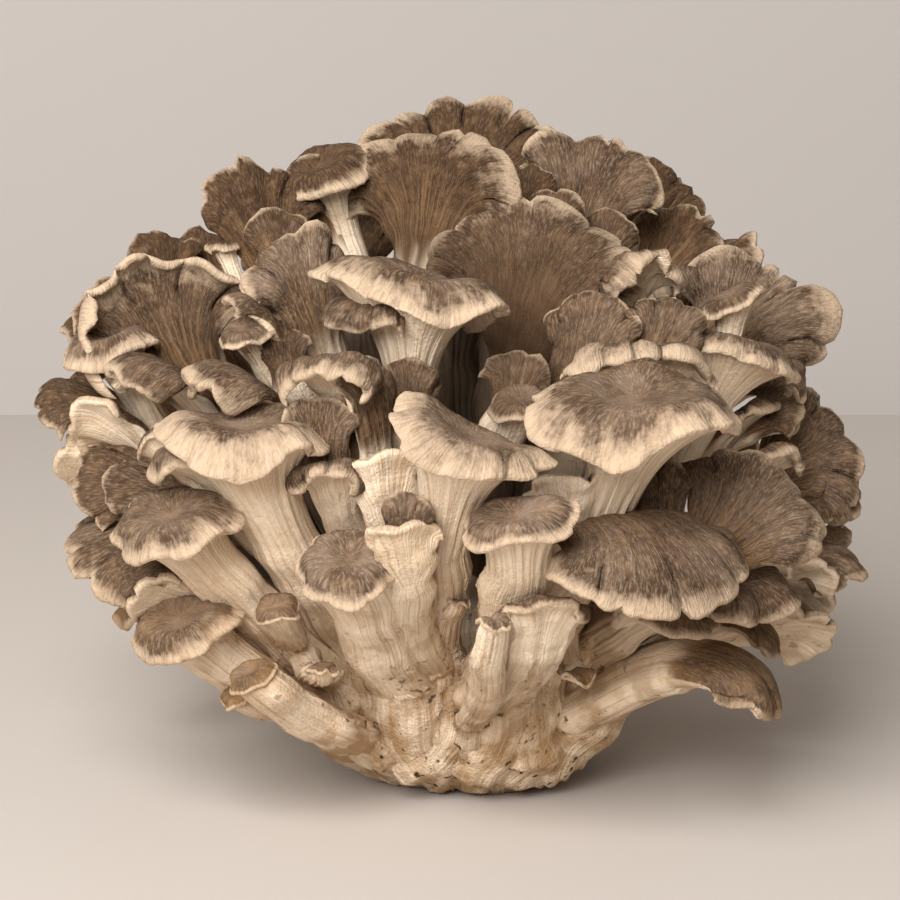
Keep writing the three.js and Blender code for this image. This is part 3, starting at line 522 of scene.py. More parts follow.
class Trumpet(Frond):
    """A stalk that opens into a funnel under a round cap, dished in the middle."""

    def set_end(self, root, rim):
        end = rim - self.blade / 2 * self.along
        rise = unit(unit(end - root) + self.face)
        return end, end - 0.4 * np.linalg.norm(end - root) * rise

    def set_waves(self, rng):
        """The random waves round this trumpet's rim, cap and funnel."""
        self.radius = (self.width + self.blade) / 4
        self.neck = 1 - self.funnel / self.length
        self.rim_half = float(np.clip(0.04 * self.blade, 0.5, self.shape.rim_thickness / 2))
        self.lobe_count = max(5, round(TURN * self.radius / self.lobe_width))
        self.start = rng.uniform(0, math.pi)
        self.drift = ring_wave(rng, 3)
        self.swell = ring_wave(rng, 2.2)
        self.ripple = ring_wave(rng, 5)
        self.bulges = ring_wave(rng, 3)
        self.wrinkle = ring_wave(rng, 22, 6)
        self.flute = ring_wave(rng, 20, 7)

    def cap_point(self, share, turn, height):
        """A point of the cap: share of the way out to the rim, and above the rim's plane."""
        lobe = scallops(self.lobe_count * turn / 2 + self.start + 0.7 * self.drift(turn))
        crimp = scallops(3.4 * self.lobe_count * turn / 2)
        notch = self.lobe_depth * ((lobe - 0.7) + 0.12 * (crimp - 0.7)) / self.radius
        out = share * (1 + 0.08 * self.bulges(turn) * share + 0.8 * notch * share**6)
        lift = self.ruffle * share**2 * (0.8 * self.swell(turn) + 0.4 * self.ripple(turn) * share)
        lift = lift - 0.5 * self.ruffle * (1 - lobe) ** 1.5 * share**4
        lift = lift + 0.15 * self.wrinkle(turn) * share**2
        across = out * self.width / 2 * np.sin(turn)
        ahead = out * self.blade / 2 * np.cos(turn)
        lift = lift + height + self.cup * across**2
        flat = across[..., None] * self.side + ahead[..., None] * self.along
        return self.points[-1] + flat + lift[..., None] * self.face

    def cap_height(self, share):
        bulge = CAP_BULGE * (1 - share**4) - CAP_DIP * (1 - share**2) ** 2
        return self.blade * (bulge - RIM_HANG * share**6)

    def stalk_point(self, share, turn):
        along = share * self.length
        point, side, face, tangent = self.frame_at(along)
        ridges = self.shape.flute_depth * self.flute(turn + 0.15 * self.flute_drift(along))
        wide = self.stalk / 2 * (1 + 0.08 * self.side_wave(along)) + ridges
        deep = STALK_FLATNESS * self.stalk / 2 * (1 + 0.08 * self.side_wave(along + 30)) + ridges
        sway = 1.2 * self.sway(along) * smooth(share * 4) * smooth((self.neck - share) * 8)
        across, back = wide * np.sin(turn) + sway, -deep * np.cos(turn)
        return point + across[..., None] * side + back[..., None] * face, tangent

    def build(self):
        """Vertices in millimetres, faces, and the values that the materials read."""
        shape, hang = self.shape, RIM_HANG * self.blade
        columns = int(np.clip(TURN * self.radius / shape.column_width, *TRUMPET_COLUMNS))
        turn = np.linspace(0, TURN, columns, endpoint=False)[None, :]
        stalk_length = self.neck * self.length

        share = np.linspace(0, self.neck, max(5, round(stalk_length / shape.stalk_step)))[:, None]
        stalk, _ = self.stalk_point(share, turn)

        opened = np.linspace(0, 1, max(8, round(1.3 * self.funnel / shape.cap_step)))[1:, None]
        start, tangent = self.stalk_point(self.neck + 0 * opened, turn)
        bend = start + 0.7 * self.funnel * tangent
        inset = 1 - 2.5 * self.rim_half / self.radius
        tuck = self.cap_point(inset + 0 * opened, turn, -hang + 1.4 * self.rim_half)
        t = opened[..., None]
        funnel = (1 - t) ** 2 * start + 2 * t * (1 - t) * bend + t * t * tuck

        roll = np.radians([-80, -50, -20, 10, 40, 70])[:, None]
        out = 1 - self.rim_half * (1 - np.cos(roll)) / self.radius
        rim = self.cap_point(out, turn, -hang + self.rim_half * (1 + np.sin(roll)))

        inner = 1 - self.rim_half / self.radius
        steps = max(8, round(self.radius / shape.cap_step))
        inward = inner * (1 - np.linspace(0, 0.97, steps)[1:, None])
        rest = -hang + 2 * self.rim_half - self.cap_height(inner)
        top = self.cap_point(inward, turn, self.cap_height(inward) + rest * inward**4)

        vertices = np.concatenate([stalk, funnel, rim, top])
        bands = [share, opened, roll, inward]

        def value(*amounts):
            return np.concatenate([np.broadcast_to(a, (len(b), columns)) for a, b in zip(amounts, bands)])

        under = self.length + self.radius
        inner_edge = 0.5 + (1 - inward) * self.radius
        along = value(share * self.length, stalk_length + opened * self.funnel, under,
                      under + (1 - inward) * self.radius)
        values = {
            "skin": value(0, 0, smooth((roll + 0.9) / 0.9), 1),
            "opened": value(0, opened**2, 1, 0.7 + 0.3 * inward),
            "streak": value(1, 1, 1, inward),
            "edge": value(NO_RIM, (1 - opened) * self.funnel + 1, 0.5, inner_edge / self.rim_width),
            "tone": value(*[self.tone] * 4),
            "grain": ring_grain(self.radius * np.cos(turn), along,
                                self.radius * np.sin(turn) + GRAIN_STEP * self.number),
        }
        return vertices, ring_faces(len(vertices), columns), values


def ring_grain(across, along, round_back):
    """Where the grain of each vertex lies: round its ring, and along the stalk."""
    return np.stack([across + 0 * along, along + 0 * across, round_back + 0 * along], axis=-1)


def flesh_values(grain):
    """What the materials read where there is bare flesh, with no skin and no rim."""
    plain = 0 * grain[..., 0]
    return {"skin": plain, "opened": plain, "edge": plain + NO_RIM, "streak": plain + 1,
            "tone": plain, "grain": grain}


def ring_faces(rings, around):
    """Quads round a stack of rings, and one face over each end. The rings wind face-out."""
    index = np.arange(rings * around).reshape(rings, around)
    ahead = np.roll(index, -1, axis=1)
    quads = np.stack([index[:-1], index[1:], ahead[1:], ahead[:-1]], axis=-1).reshape(-1, 4)
    return quads.tolist() + [index[0].tolist(), index[-1][::-1].tolist()]


def sleeve_faces(rings, around):
    """Quads round a sleeve whose rings have two faces, and the strips that shut its two ends.

    The sleeve winds face-out where its columns run from left to right.
    """
    index = np.arange(rings * around).reshape(rings, around)
    ahead = np.roll(index, -1, axis=1)
    quads = np.stack([index[:-1], ahead[:-1], ahead[1:], index[1:]], axis=-1).reshape(-1, 4)
    half = around // 2
    strips = []
    for ring, inwards in ((index[0], True), (index[-1], False)):
        upper = ring[: half + 1]
        lower = np.concatenate([[ring[0]], ring[: half - 1 : -1]])
        for j in range(half):
            corners = [upper[j], upper[j + 1], lower[j + 1], lower[j]]
            corners = list(dict.fromkeys(int(c) for c in corners))
            strips.append(corners[::-1] if inwards else corners)
    return quads.tolist() + strips


def make_mesh(name, parts):
    """One smooth mesh from several (vertices in millimetres, faces, values for the materials)."""
    mesh = bpy.data.meshes.new(name)
    points = np.concatenate([vertices.reshape(-1, 3) for vertices, _, _ in parts]) * MM
    polygons, offset = [], 0
    for vertices, faces, _ in parts:
        polygons += [[corner + offset for corner in face] for face in faces]
        offset += vertices.reshape(-1, 3).shape[0]
    mesh.from_pydata(points.tolist(), [], polygons)
    mesh.update()
    # How far inside the cluster each vertex lies, which sets the painted shade there.
    depth = 1 - np.linalg.norm((points / MM - HEART) / OUTSIDE, axis=1)
    for key in VALUES:
        if key == "depth":
            columns = depth
        else:
            columns = np.concatenate([np.reshape(values[key], (-1, VALUES[key])) for _, _, values in parts])
        kind, field = ("FLOAT_VECTOR", "vector") if VALUES[key] == 3 else ("FLOAT", "value")
        attribute = mesh.attributes.new(key, kind, "POINT")
        attribute.data.foreach_set(field, columns.astype(np.float32).ravel())
    mesh.polygons.foreach_set("use_smooth", [True] * len(mesh.polygons))
    return mesh


def add_piece(name, mesh, material, replaced=None):
    piece = bpy.data.objects.new(name, mesh)
    bpy.context.scene.collection.objects.link(piece)
    mesh.materials.append(material)
    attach(piece, "root")
    if replaced:
        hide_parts(replaced)
    return piece


# Shader helpers.


def add_node(tree, kind, inputs=None, **settings):
    """Adds a node, with its settings, and its inputs set to values or linked to sockets."""
    made = tree.nodes.new(kind)
    for key, value in settings.items():
        setattr(made, key, value)
    for key, value in (inputs or {}).items():
        if isinstance(value, bpy.types.NodeSocket):
            tree.links.new(value, made.inputs[key])
        else:
            made.inputs[key].default_value = value
    return made


def maths(tree, operation, a, b):
    return add_node(tree, "ShaderNodeMath", {0: a, 1: b}, operation=operation).outputs[0]


def vectors(tree, operation, a, b=(0, 0, 0)):
    return add_node(tree, "ShaderNodeVectorMath", {0: a, 1: b}, operation=operation).outputs


def times(tree, a, b):
    return maths(tree, "MULTIPLY", a, b)


def plus(tree, a, b):
    return maths(tree, "ADD", a, b)


def ramp(tree, value, low, high, to_low=0.0, to_high=1.0):
    """A smooth step of a value from low to high."""
    inputs = {"Value": value, "From Min": low, "From Max": high, "To Min": to_low, "To Max": to_high}
    made = add_node(tree, "ShaderNodeMapRange", inputs, interpolation_type="SMOOTHSTEP")
    return made.outputs["Result"]


def noise(tree, place, **inputs):
    return add_node(tree, "ShaderNodeTexNoise", {"Vector": place, **inputs}).outputs["Fac"]


def mix(tree, share, a, b):
    made = add_node(tree, "ShaderNodeMix", {0: share, 6: a, 7: b}, data_type="RGBA")
    return made.outputs[2]


def tint(tree, colour, over, mask, strength):
    """Lays a second colour over the first where the mask shows it, at this strength."""
    return mix(tree, times(tree, mask, strength), colour, over)


def value_of(tree, attribute):
    return add_node(tree, "ShaderNodeAttribute", attribute_name=attribute).outputs["Fac"]


# The effects that the materials share. Each is a node group with one result.


def new_group(name, inputs, result, kind):
    """An empty node group, what it is given, and a function that ends it with its result."""
    group = bpy.data.node_groups.new(name, "ShaderNodeTree")
    for label, default in inputs.items():
        given_kind = "Color" if isinstance(default, tuple) else "Float"
        socket = group.interface.new_socket(label, in_out="INPUT", socket_type=f"NodeSocket{given_kind}")
        socket.default_value = default
    group.interface.new_socket(result, in_out="OUTPUT", socket_type=f"NodeSocket{kind}")
    given, end = group.nodes.new("NodeGroupInput"), group.nodes.new("NodeGroupOutput")

    def finished(socket):
        group.links.new(socket, end.inputs[result])
        return group

    return group, given.outputs, finished


def effect(tree, groups, name, **inputs):
    """Places a shared effect with values of its own, and gives its result."""
    return add_node(tree, "ShaderNodeGroup", inputs, node_tree=groups[name]).outputs[0]


def fibre_group():
    """Streaks that run up the stalk and fan out over the cap."""
    inputs = {"Across": 1.0, "Along": 14.0, "Low": 0.35, "High": 0.65}
    group, given, finished = new_group("fibres", inputs, "Streaks", "Float")
    grain = add_node(group, "ShaderNodeAttribute", attribute_name="grain").outputs["Vector"]
    size = add_node(group, "ShaderNodeCombineXYZ", {0: given["Across"], 1: given["Along"], 2: 1}).outputs[0]
    place = vectors(group, "DIVIDE", grain, size)[0]
    streaks = noise(group, place, Scale=1.0, Detail=4.0, Roughness=0.6)
    return finished(ramp(group, streaks, given["Low"], given["High"]))


def patch_group():
    """Soft-edged patches of a given size all over the cluster."""
    inputs = {"Size": 10.0, "Low": 0.45, "High": 0.6, "Detail": 3.0}
    group, given, finished = new_group("patches", inputs, "Patches", "Float")
    place = add_node(group, "ShaderNodeTexCoord").outputs["Object"]
    scale = maths(group, "DIVIDE", 1 / MM, given["Size"])
    patches = noise(group, place, Scale=scale, Detail=given["Detail"])
    return finished(ramp(group, patches, given["Low"], given["High"]))


def flesh_group(groups):
    """Cream flesh with fine lengthwise fibres, ochre creases and broad tan patches."""
    inputs = {"Flesh": WHITE, "Shade": WHITE, "Ochre": WHITE}
    group, given, finished = new_group("flesh", inputs, "Colour", "Color")
    fine = effect(group, groups, "fibres", Across=0.7, Along=30, Low=0.38, High=0.68)
    broad = effect(group, groups, "fibres", Across=2.2, Along=45, Low=0.5, High=0.68)
    blush = effect(group, groups, "patches", Size=24, Low=0.42, High=0.66)
    bruise = effect(group, groups, "patches", Size=7, Low=0.6, High=0.72)
    colour = tint(group, given["Flesh"], given["Shade"], fine, 0.42)
    colour = tint(group, colour, given["Ochre"], broad, 0.55)
    colour = tint(group, colour, given["Ochre"], bruise, 0.3)
    return finished(tint(group, colour, given["Shade"], blush, 0.42))


def soiling_and_shade_group(groups):
    """A colour with stains and soil on it, thick at the foot and gone a little way above it; the stains
    also lay painted shade on the low stalks.
    """
    inputs = {"Colour": WHITE, "Stain": WHITE, "Soil": WHITE, "Strength": 0.85, "Height": SOIL_AND_SHADE_HEIGHT}
    group, given, finished = new_group("soiling", inputs, "Colour", "Color")
    place = add_node(group, "ShaderNodeTexCoord").outputs["Object"]
    spread = vectors(group, "MULTIPLY", place, SOIL_AND_SHADE_SPREAD)[0]
    away = vectors(group, "LENGTH", spread)["Value"]
    reach = times(group, given["Height"], MM)
    near = ramp(group, maths(group, "DIVIDE", away, reach), 0.2, 1.0, 1.0, 0.0)
    broad = effect(group, groups, "patches", Size=9, Low=0.42, High=0.62)
    fine = effect(group, groups, "patches", Size=4, Low=0.62, High=0.7)
    stain_patches = plus(group, times(group, broad, 0.8), 0.25)
    # Stains by the foot, which also serve as painted shade on the low stalks.
    stained_and_shaded = tint(group, given["Colour"], given["Stain"], times(group, near, stain_patches), given["Strength"])
    return finished(mix(group, times(group, near, fine), stained_and_shaded, given["Soil"]))


def relief_group(groups):
    """The height of the fibres, felt and small dents that are too fine for the mesh."""
    group, _, finished = new_group("relief", {}, "Height", "Float")
    fibres = effect(group, groups, "fibres", Across=0.6, Along=26, Low=0.3, High=0.7)
    fibres = times(group, fibres, value_of(group, "streak"))
    felt = effect(group, groups, "patches", Size=0.8, Low=0.25, High=0.75)
    dents = effect(group, groups, "patches", Size=3.5, Low=0.3, High=0.7)
    height = plus(group, times(group, fibres, 0.7), times(group, felt, 0.5))
    return finished(plus(group, height, times(group, dents, 0.6)))


def build_groups():
    groups = {"fibres": fibre_group(), "patches": patch_group()}
    for name, build in (("flesh", flesh_group), ("soiling", soiling_and_shade_group), ("relief", relief_group)):
        groups[name] = build(groups)
    return groups


# The materials.


def new_material(name):
    material = bpy.data.materials.new(name)
    material.use_nodes = True
    return material, material.node_tree, material.node_tree.nodes["Principled BSDF"]


def flesh_colour(tree, groups, finish):
    return effect(tree, groups, "flesh", Flesh=finish.flesh, Shade=finish.flesh_shade, Ochre=finish.ochre)


def skin_colour(tree, groups, finish):
    """Felted skin, streaked by the stalk and mottled further out: dark at the back, grey in front."""
    opened, tone, streak, edge = (value_of(tree, key) for key in ("opened", "tone", "streak", "edge"))
    fine = times(tree, effect(tree, groups, "fibres", Across=0.38, Along=14, Low=0.36, High=0.64), streak)
    broad = times(tree, effect(tree, groups, "fibres", Across=2.4, Along=30, Low=0.38, High=0.64), streak)
    speckle = effect(tree, groups, "fibres", Across=0.6, Along=2, Low=0.45, High=0.65)
    blotch = effect(tree, groups, "patches", Size=12, Low=0.42, High=0.6)
    mottle = effect(tree, groups, "patches", Size=3.5, Low=0.45, High=0.7)
    inner = mix(tree, broad, finish.skin_tan, finish.skin)
    outer = mix(tree, tone, finish.skin, finish.skin_grey)
    outer = tint(tree, outer, finish.skin_dark, blotch, 0.65)
    outer = tint(tree, outer, finish.skin_dark, broad, 0.55)
    out = plus(tree, opened, times(tree, broad, 0.25))
    colour = mix(tree, ramp(tree, out, 0.3, 0.8), inner, outer)
    band = times(tree, ramp(tree, edge, 1.5, 3.5, 0.0, 0.35), ramp(tree, edge, 3.5, 7.0, 1.0, 0.0))
    colour = mix(tree, band, colour, finish.skin_dark)
    colour = tint(tree, colour, finish.skin_dark, fine, 0.5)
    colour = tint(tree, colour, finish.skin_tan, mottle, 0.2)
    return tint(tree, colour, finish.rim, speckle, plus(tree, times(tree, tone, 0.14), 0.11))


def rim_share(tree, groups):
    """How pale the rim is: a ragged edge that fades inwards in flecks and streaks."""
    wander = effect(tree, groups, "patches", Size=7, Low=0.3, High=0.7)
    flecks = effect(tree, groups, "patches", Size=1.8, Low=0.3, High=0.7)
    streaks = effect(tree, groups, "fibres", Across=0.7, Along=5, Low=0.35, High=0.65)
    width = 0.7
    for mask, most in ((wander, 1.9), (flecks, 0.8), (streaks, 0.7)):
        width = plus(tree, times(tree, mask, most), width)
    share = ramp(tree, maths(tree, "DIVIDE", value_of(tree, "edge"), width), 0.0, 1.8, 0.9, 0.0)
    bare = effect(tree, groups, "fibres", Across=0.5, Along=2.5, Low=0.35, High=0.6)
    return times(tree, share, plus(tree, times(tree, bare, 0.32), 0.68))


def finish_material(tree, shader, groups, finish, colour, stains_and_shade, relief):
    """What ends both materials: soil, stains and painted shade by the foot, a dull surface and fine relief.
    """
    soil = {"Colour": colour, "Stain": finish.stain_and_shade, "Soil": finish.soil, "Strength": stains_and_shade}
    tree.links.new(effect(tree, groups, "soiling", **soil), shader.inputs["Base Color"])
    shader.inputs["Roughness"].default_value = 0.8
    shader.inputs["Specular IOR Level"].default_value = 0.1
    height = effect(tree, groups, "relief")
    bump = add_node(tree, "ShaderNodeBump", {"Height": height, "Distance": 0.35 * MM, "Strength": relief})
    tree.links.new(bump.outputs["Normal"], shader.inputs["Normal"])


def build_frond_material(groups, finish):
    _, tree, shader = new_material("frond_finish")
    rim, skin = rim_share(tree, groups), value_of(tree, "skin")
    cap = mix(tree, rim, skin_colour(tree, groups, finish), finish.rim)
    flesh = tint(tree, flesh_colour(tree, groups, finish), finish.rim, rim, 0.6)
    # Painted shade: flesh and skin darken towards the deep colour the further inside the cluster they lie,
    # and upper faces a little sooner.
    painted_shade_depth = plus(tree, value_of(tree, "depth"), times(tree, skin, 0.1))
    deep = ramp(tree, painted_shade_depth, 0.28, 0.62, 0.0, 0.92)
    colour = mix(tree, deep, mix(tree, skin, flesh, cap), finish.deep)
    finish_material(tree, shader, groups, finish, colour, stains_and_shade=0.85, relief=0.8)


def build_trunk_material(groups, finish):
    _, tree, shader = new_material("trunk_finish")
    colour = flesh_colour(tree, groups, finish)
    finish_material(tree, shader, groups, finish, colour, stains_and_shade=0.8, relief=1.3)


# Settings.


def colour_setting(label, words, default):
    return bpy.props.FloatVectorProperty(
        name=label, description=words, subtype="COLOR", size=4, min=0, max=1, default=(*default, 1)
    )


def size_setting(label, words, default):
    return bpy.props.FloatProperty(name=label, description=words, default=default, min=0)


class MaitakeShape(bpy.types.PropertyGroup):
    ruffle: size_setting("Ruffle", "Height of the waves in a 40 mm cap, in mm", 2.6)
    lobe_width: size_setting("Lobe width", "Width of the lobes along a large rim, in mm", 12.0)
    lobe_depth: size_setting("Lobe depth", "Depth of the notches between lobes, in mm", 3.2)
    cap_thickness: size_setting("Cap thickness", "At the middle of a cap, in mm", 4.2)
    rim_thickness: size_setting("Rim thickness", "At the rim of a cap, in mm", 2.4)
    stalk_width: size_setting("Stalk width", "Width of a stalk, in mm", 13.0)
    flute_depth: size_setting("Flute depth", "Depth of the ridges along a stalk, in mm", 0.42)
    rim_arc: size_setting("Rim arc", "Half the arc of a rim round its neck, in degrees", 85.0)
    column_width: size_setting("Column width", "Mesh width across a cap, in mm", 1.36)
    cap_step: size_setting("Cap step", "Mesh length along a cap, in mm", 1.2)
    stalk_step: size_setting("Stalk step", "Mesh length along a stalk, in mm", 3.5)


class MaitakeFinish(bpy.types.PropertyGroup):
    flesh: colour_setting("Flesh", "Pale flesh of stalks and undersides", (0.92, 0.765, 0.585))
    flesh_shade: colour_setting("Flesh shade", "Darker fibres in the flesh", (0.56, 0.37, 0.205))
    ochre: colour_setting("Ochre", "Damp or handled flesh", (0.44, 0.25, 0.11))
    rim: colour_setting("Rim", "Pale edge of a cap", (0.57, 0.42, 0.285))
    skin_tan: colour_setting("Tan skin", "Upper face near the stalk", (0.275, 0.152, 0.072))
    skin: colour_setting("Skin", "Upper face of a cap", (0.078, 0.041, 0.02))
    skin_dark: colour_setting("Dark skin", "Dark streaks in the upper face", (0.045, 0.023, 0.011))
    skin_grey: colour_setting("Grey skin", "Greyer felt on the upper face", (0.215, 0.148, 0.104))
    # Brown stains by the foot, also used as painted shade on the low stalks.
    stain_and_shade: colour_setting("Stain", "Brown stains by the foot", (0.34, 0.19, 0.08))
    # Painted shade laid over the heart of the cluster, where little light reaches.
    deep: colour_setting("Deep", "Shaded flesh in the heart of the cluster", (0.065, 0.035, 0.018))
    soil: colour_setting("Soil", "Soil caught by the foot", (0.05, 0.028, 0.014))


class MaitakeStage(bpy.types.PropertyGroup):
    floor: colour_setting("Floor", "Colour of the floor", (0.49, 0.44, 0.395))
    wall: colour_setting("Wall", "Colour of the backdrop", (0.43, 0.395, 0.37))
    key_power: bpy.props.FloatProperty(name="Key light", description="Power of the main lamp",
                                       default=42.5, unit="POWER")
    fill: bpy.props.FloatProperty(name="Fill", description="Strength of the light from all round",
                                  default=0.27)


# Operators.


def all_fronds(shape):
    grown = {}
    for number, row in enumerate(FRONDS + BUDS, 1):
        kind = Trumpet if "funnel" in row[6] else Fan
        grown[row[0]] = kind(row, grown, shape, number)
    return grown


def shared_materials():
    if "frond_finish" not in bpy.data.materials:
        finish, groups = bpy.context.scene.maitake_finish, build_groups()
        build_frond_material(groups, finish)
        build_trunk_material(groups, finish)
    return bpy.data.materials["frond_finish"], bpy.data.materials["trunk_finish"]


class GrowFronds:
    """Grows every frond of one region, each with the smaller fronds that fork from it."""

    region = ""
    bl_options = {"REGISTER", "UNDO"}

    def execute(self, context):
        shape = context.scene.maitake_shape
        material, _ = shared_materials()
        fronds = all_fronds(shape)
        for frond in fronds.values():
            if frond.on or not frond.name.startswith(self.region):
                continue
            members = [frond] + [f for f in fronds.values() if f.on == frond.name]
            mesh = make_mesh(frond.name, [member.build() for member in members])
            node = f"frond_{frond.name}"
            check_place(mesh, node)
            add_piece(f"{frond.name}_cap", mesh, material, node)
        return {"FINISHED"}


def check_place(mesh, node):
    """A frond whose top isn't where the frame has it means that the growth tables differ."""
    low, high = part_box(node)
    miss = abs(max(v.co.z for v in mesh.vertices) - high.z)
    if miss > PLACE_LIMIT:
        raise RuntimeError(f"{node} stands {miss:.3f} m off its place in the frame")


class MAITAKE_OT_crown(GrowFronds, bpy.types.Operator):
    """Grows the upright fans of the crown"""

    bl_idname, bl_label, region = "maitake.crown", "Crown fronds", "crown"


class MAITAKE_OT_front(GrowFronds, bpy.types.Operator):
    """Grows the trumpets and tongues of the front"""

    bl_idname, bl_label, region = "maitake.front", "Front fronds", "front"


class MAITAKE_OT_right(GrowFronds, bpy.types.Operator):
    """Grows the fronds that lean to the right"""

    bl_idname, bl_label, region = "maitake.right", "Right fronds", "right"


class MAITAKE_OT_left(GrowFronds, bpy.types.Operator):
    """Grows the fronds that lean to the left"""

    bl_idname, bl_label, region = "maitake.left", "Left fronds", "left"


class MAITAKE_OT_foot(GrowFronds, bpy.types.Operator):
    """Grows the short aborted fronds low on the foot"""

    bl_idname, bl_label, region = "maitake.foot", "Foot fronds", "foot"


class MAITAKE_OT_back(GrowFronds, bpy.types.Operator):
    """Grows the fronds of the back"""

    bl_idname, bl_label, region = "maitake.back", "Back fronds", "back"


class MAITAKE_OT_trunk(bpy.types.Operator):
    """Models the lumpy trunk on its flat cut"""

    bl_idname, bl_label = "maitake.trunk", "Trunk"

    def execute(self, context):
        low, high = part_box("trunk")
        stems = [f for f in all_fronds(context.scene.maitake_shape).values() if not f.on]
        feet = [stalk_foot(stem, low, high) for stem in stems if stem.points[-1, 2] < FOOT_LIMIT]
        mesh = make_mesh("trunk", [trunk_surface(low, high), *feet])
        _, material = shared_materials()
        add_piece("trunk_body", mesh, material, "trunk")
        return {"FINISHED"}


def trunk_surface(low, high):
    """A lumpy, fluted base with a flat cut under it, inside the box of the frame's trunk."""
    rng = np.random.default_rng(1)
    turn = np.linspace(0, TURN, TRUNK_COLUMNS, endpoint=False)[None, :]
    rise = np.concatenate([np.zeros(CUT_RINGS), np.linspace(0, 1, TRUNK_RINGS)])[:, None]
    inset = np.concatenate([np.linspace(0.1, 0.96, CUT_RINGS), np.ones(TRUNK_RINGS)])[:, None]
    flutes = 0
    for count in (4, 7, 11, 17, 26):
        lean = 0.8 * np.sin(3 * rise + count)
        flutes = flutes + 2.2 / count**0.8 * np.sin(count * turn + rng.uniform(0, TURN) + lean)
    folds = np.abs(np.sin(9 * turn / 2 + 0.9 * np.sin(2 * turn) + 1.5 * rise)) - 0.6
    girth = np.interp(rise, TRUNK_RISE, TRUNK_GIRTH) * inset
    girth = girth * (0.84 + (0.05 * flutes + 0.09 * folds) * smooth(rise * 12))
    centre, half = (low + high) / 2 / MM, (high - low) / 2 / MM
    x = centre.x + half.x * girth * np.sin(turn)
    y = centre.y + half.y * girth * np.cos(turn)
    z = high.z / MM * rise + 0 * turn
    grain = ring_grain(30 * np.sin(turn), z, 30 * np.cos(turn))
    return np.stack([x, y, z], axis=-1), ring_faces(*z.shape), flesh_values(grain)


def stalk_foot(frond, low, high):
    """The foot of a stalk: it runs down over the trunk, from where the stalk leaves it to the cut."""
    centre, half, top = np.array((low + high) / 2 / MM), np.array((high - low) / 2 / MM), high.z / MM
    away = (frond.points - centre)[:, :2] / half[:2]
    girth = np.interp(frond.points[:, 2] / top, TRUNK_RISE, TRUNK_GIRTH, right=0)
    leave = np.nonzero(np.linalg.norm(away, axis=1) < girth)[0][-1]
    t = np.linspace(0, 1, FOOT_RINGS)[:, None]
    height = 1 + (frond.points[leave, 2] - 1) * t
    turn = np.arctan2(*away[leave]) + 0.12 * frond.sway(3 * height) * (1 - t)
    reach = 0.93 * np.interp(height / top, TRUNK_RISE, TRUNK_GIRTH)
    skin = [centre[0] + half[0] * reach * np.sin(turn), centre[1] + half[1] * reach * np.cos(turn), height]
    stalk = frond.frame_at(frond.distance[leave] + 20 * t[:, 0] - 4)[0]
    blend = smooth((t - 0.35) / 0.5)
    path = np.concatenate(skin, axis=1) * (1 - blend) + stalk * blend
    tangent = unit(np.gradient(path, axis=0))
    side = unit(np.cross(tangent, path - centre * [1, 1, 0.5]))
    face = np.cross(side, tangent)
    around = np.linspace(0, TURN, FOOT_COLUMNS, endpoint=False)[None, :]
    wide = frond.stalk / 2 * (0.5 + 0.5 * smooth(1.6 * t)) * (1 + 0.12 * frond.side_wave(3 * height))
    wide = wide * (1 - 0.35 * smooth((t - 0.7) / 0.3))
    ridges = 0.45 * ring_wave(np.random.default_rng(frond.number), 8, 6)(around + 0.3 * t)
    across = ((wide + ridges) * np.sin(around))[..., None] * side[:, None]
    out = ((STALK_FLATNESS * wide + ridges) * -np.cos(around))[..., None] * face[:, None]
    vertices = path[:, None] + across + out
    vertices[..., 2] = np.maximum(vertices[..., 2], 0.2)
    grain = ring_grain(5 * np.sin(around), height, 5 * np.cos(around) + GRAIN_STEP * frond.number)
    return vertices, ring_faces(FOOT_RINGS, FOOT_COLUMNS), flesh_values(grain)


class MAITAKE_OT_stage(bpy.types.Operator):
    """Sets up the floor, the backdrop, the lamps and the camera"""

    bl_idname, bl_label = "maitake.stage", "Stage"

    def execute(self, context):
        stage = context.scene.maitake_stage
        add_backdrop(stage)
        add_lights(context.scene, stage)
        add_camera(context.scene)
        context.scene.view_settings.view_transform = "Standard"
        return {"FINISHED"}


def plain_material(name, colour):
    material, _, shader = new_material(name)
    shader.inputs["Base Color"].default_value = colour
    shader.inputs["Roughness"].default_value = 0.9
    return material


def wall_material(colour):
    """Plain paint on the side towards the cluster; the wall can't be seen from behind."""
    material = plain_material("wall", colour)
    tree = material.node_tree
    behind = add_node(tree, "ShaderNodeNewGeometry").outputs["Backfacing"]
    clear = add_node(tree, "ShaderNodeBsdfTransparent").outputs[0]
    painted = tree.nodes["Principled BSDF"].outputs[0]
    mixed = add_node(tree, "ShaderNodeMixShader", {0: behind, 1: painted, 2: clear})
    tree.links.new(mixed.outputs[0], tree.nodes["Material Output"].inputs["Surface"])
    return material


def add_sheet(name, corners, material):
    mesh = bpy.data.meshes.new(name)
    mesh.from_pydata(corners, [], [(0, 1, 2, 3)])
    mesh.materials.append(material)
    sheet = bpy.data.objects.new(name, mesh)
    bpy.context.scene.collection.objects.link(sheet)


def add_backdrop(stage):
    r, w, h = STAGE_HALF, WALL_DISTANCE, WALL_HEIGHT
    floor = [(-r, -r, 0), (r, -r, 0), (r, r, 0), (-r, r, 0)]
    wall = [(-r, w, 0), (r, w, 0), (r, w, h), (-r, w, h)]
    add_sheet("floor", floor, plain_material("floor", stage.floor))
    add_sheet("wall", wall, wall_material(stage.wall))


def aim(thing, target):
    thing.rotation_euler = (Vector(target) - thing.location).to_track_quat("-Z", "Y").to_euler()


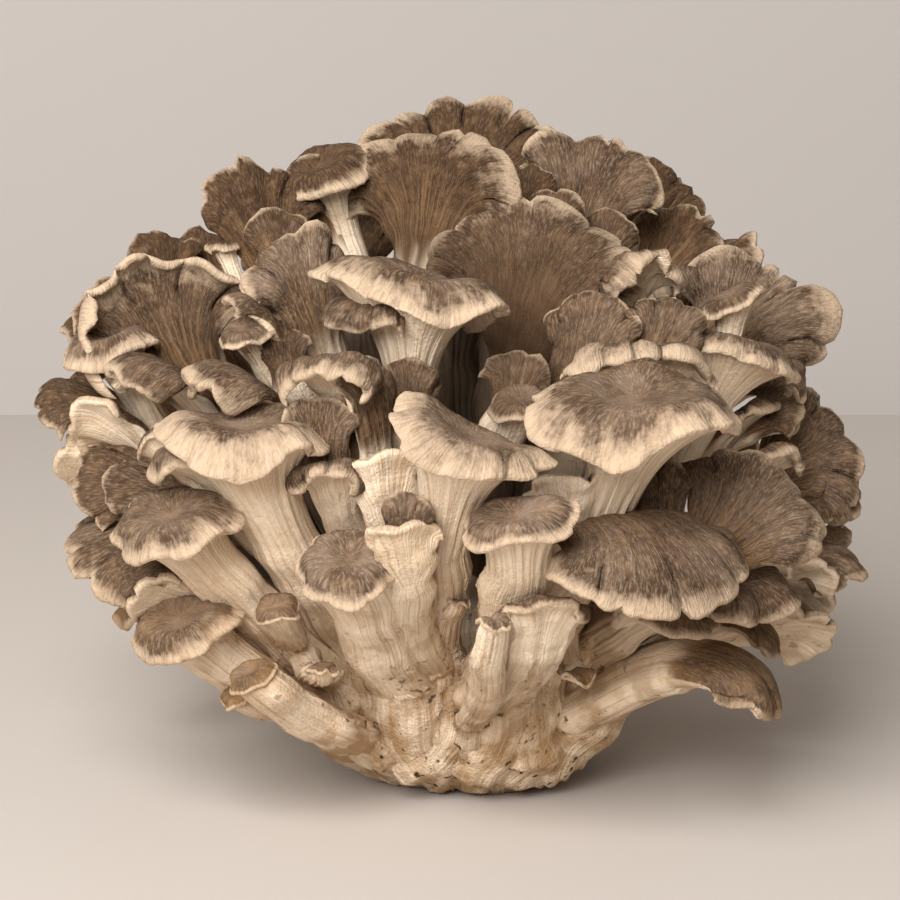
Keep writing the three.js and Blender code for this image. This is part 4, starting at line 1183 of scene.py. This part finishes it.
def add_lights(scene, stage):
    lamp = bpy.data.lights.new("key", "AREA")
    lamp.energy, lamp.size = stage.key_power, KEY_SIZE
    key = bpy.data.objects.new("key", lamp)
    key.location = KEY_PLACE
    aim(key, KEY_TARGET)
    scene.collection.objects.link(key)
    world = bpy.data.worlds.new("studio")
    scene.world = world
    world.use_nodes = True
    background = world.node_tree.nodes["Background"]
    background.inputs["Color"].default_value = FILL_COLOUR
    background.inputs["Strength"].default_value = stage.fill


def add_camera(scene):
    """A long lens a little above the cluster, straight in front of it."""
    rise = math.radians(CAMERA_RISE)
    back = Vector((0, -math.cos(rise), math.sin(rise)))
    lens = bpy.data.cameras.new("camera")
    lens.sensor_width = SENSOR
    lens.lens = SENSOR * CAMERA_DISTANCE / VIEW_WIDTH
    lens.clip_end = 50
    camera = bpy.data.objects.new("camera", lens)
    camera.location = Vector(CAMERA_TARGET) + CAMERA_DISTANCE * back
    aim(camera, CAMERA_TARGET)
    scene.collection.objects.link(camera)
    scene.camera = camera


class MAITAKE_PT_panel(bpy.types.Panel):
    """Lists the steps that grow the cluster"""

    bl_label, bl_category = "Maitake cluster", "Maitake"
    bl_space_type, bl_region_type = "VIEW_3D", "UI"

    def draw(self, context):
        for settings in ("maitake_shape", "maitake_finish", "maitake_stage"):
            group = getattr(context.scene, settings)
            box = self.layout.box()
            for name in group.__annotations__:
                box.prop(group, name)
        for step in STEPS:
            self.layout.operator(step.bl_idname)


SETTINGS = {
    "maitake_shape": MaitakeShape, "maitake_finish": MaitakeFinish, "maitake_stage": MaitakeStage,
}
STEPS = [
    MAITAKE_OT_trunk, MAITAKE_OT_crown, MAITAKE_OT_front, MAITAKE_OT_right,
    MAITAKE_OT_left, MAITAKE_OT_foot, MAITAKE_OT_back, MAITAKE_OT_stage,
]


def register():
    for cls in [*SETTINGS.values(), *STEPS, MAITAKE_PT_panel]:
        bpy.utils.register_class(cls)
    for name, cls in SETTINGS.items():
        setattr(bpy.types.Scene, name, bpy.props.PointerProperty(type=cls))


def unregister():
    for name in SETTINGS:
        delattr(bpy.types.Scene, name)
    for cls in [MAITAKE_PT_panel, *reversed(STEPS), *SETTINGS.values()]:
        bpy.utils.unregister_class(cls)


def main():
    register()
    for step in STEPS:
        family, name = step.bl_idname.split(".")
        getattr(getattr(bpy.ops, family), name)()


if __name__ == "__main__":
    main()
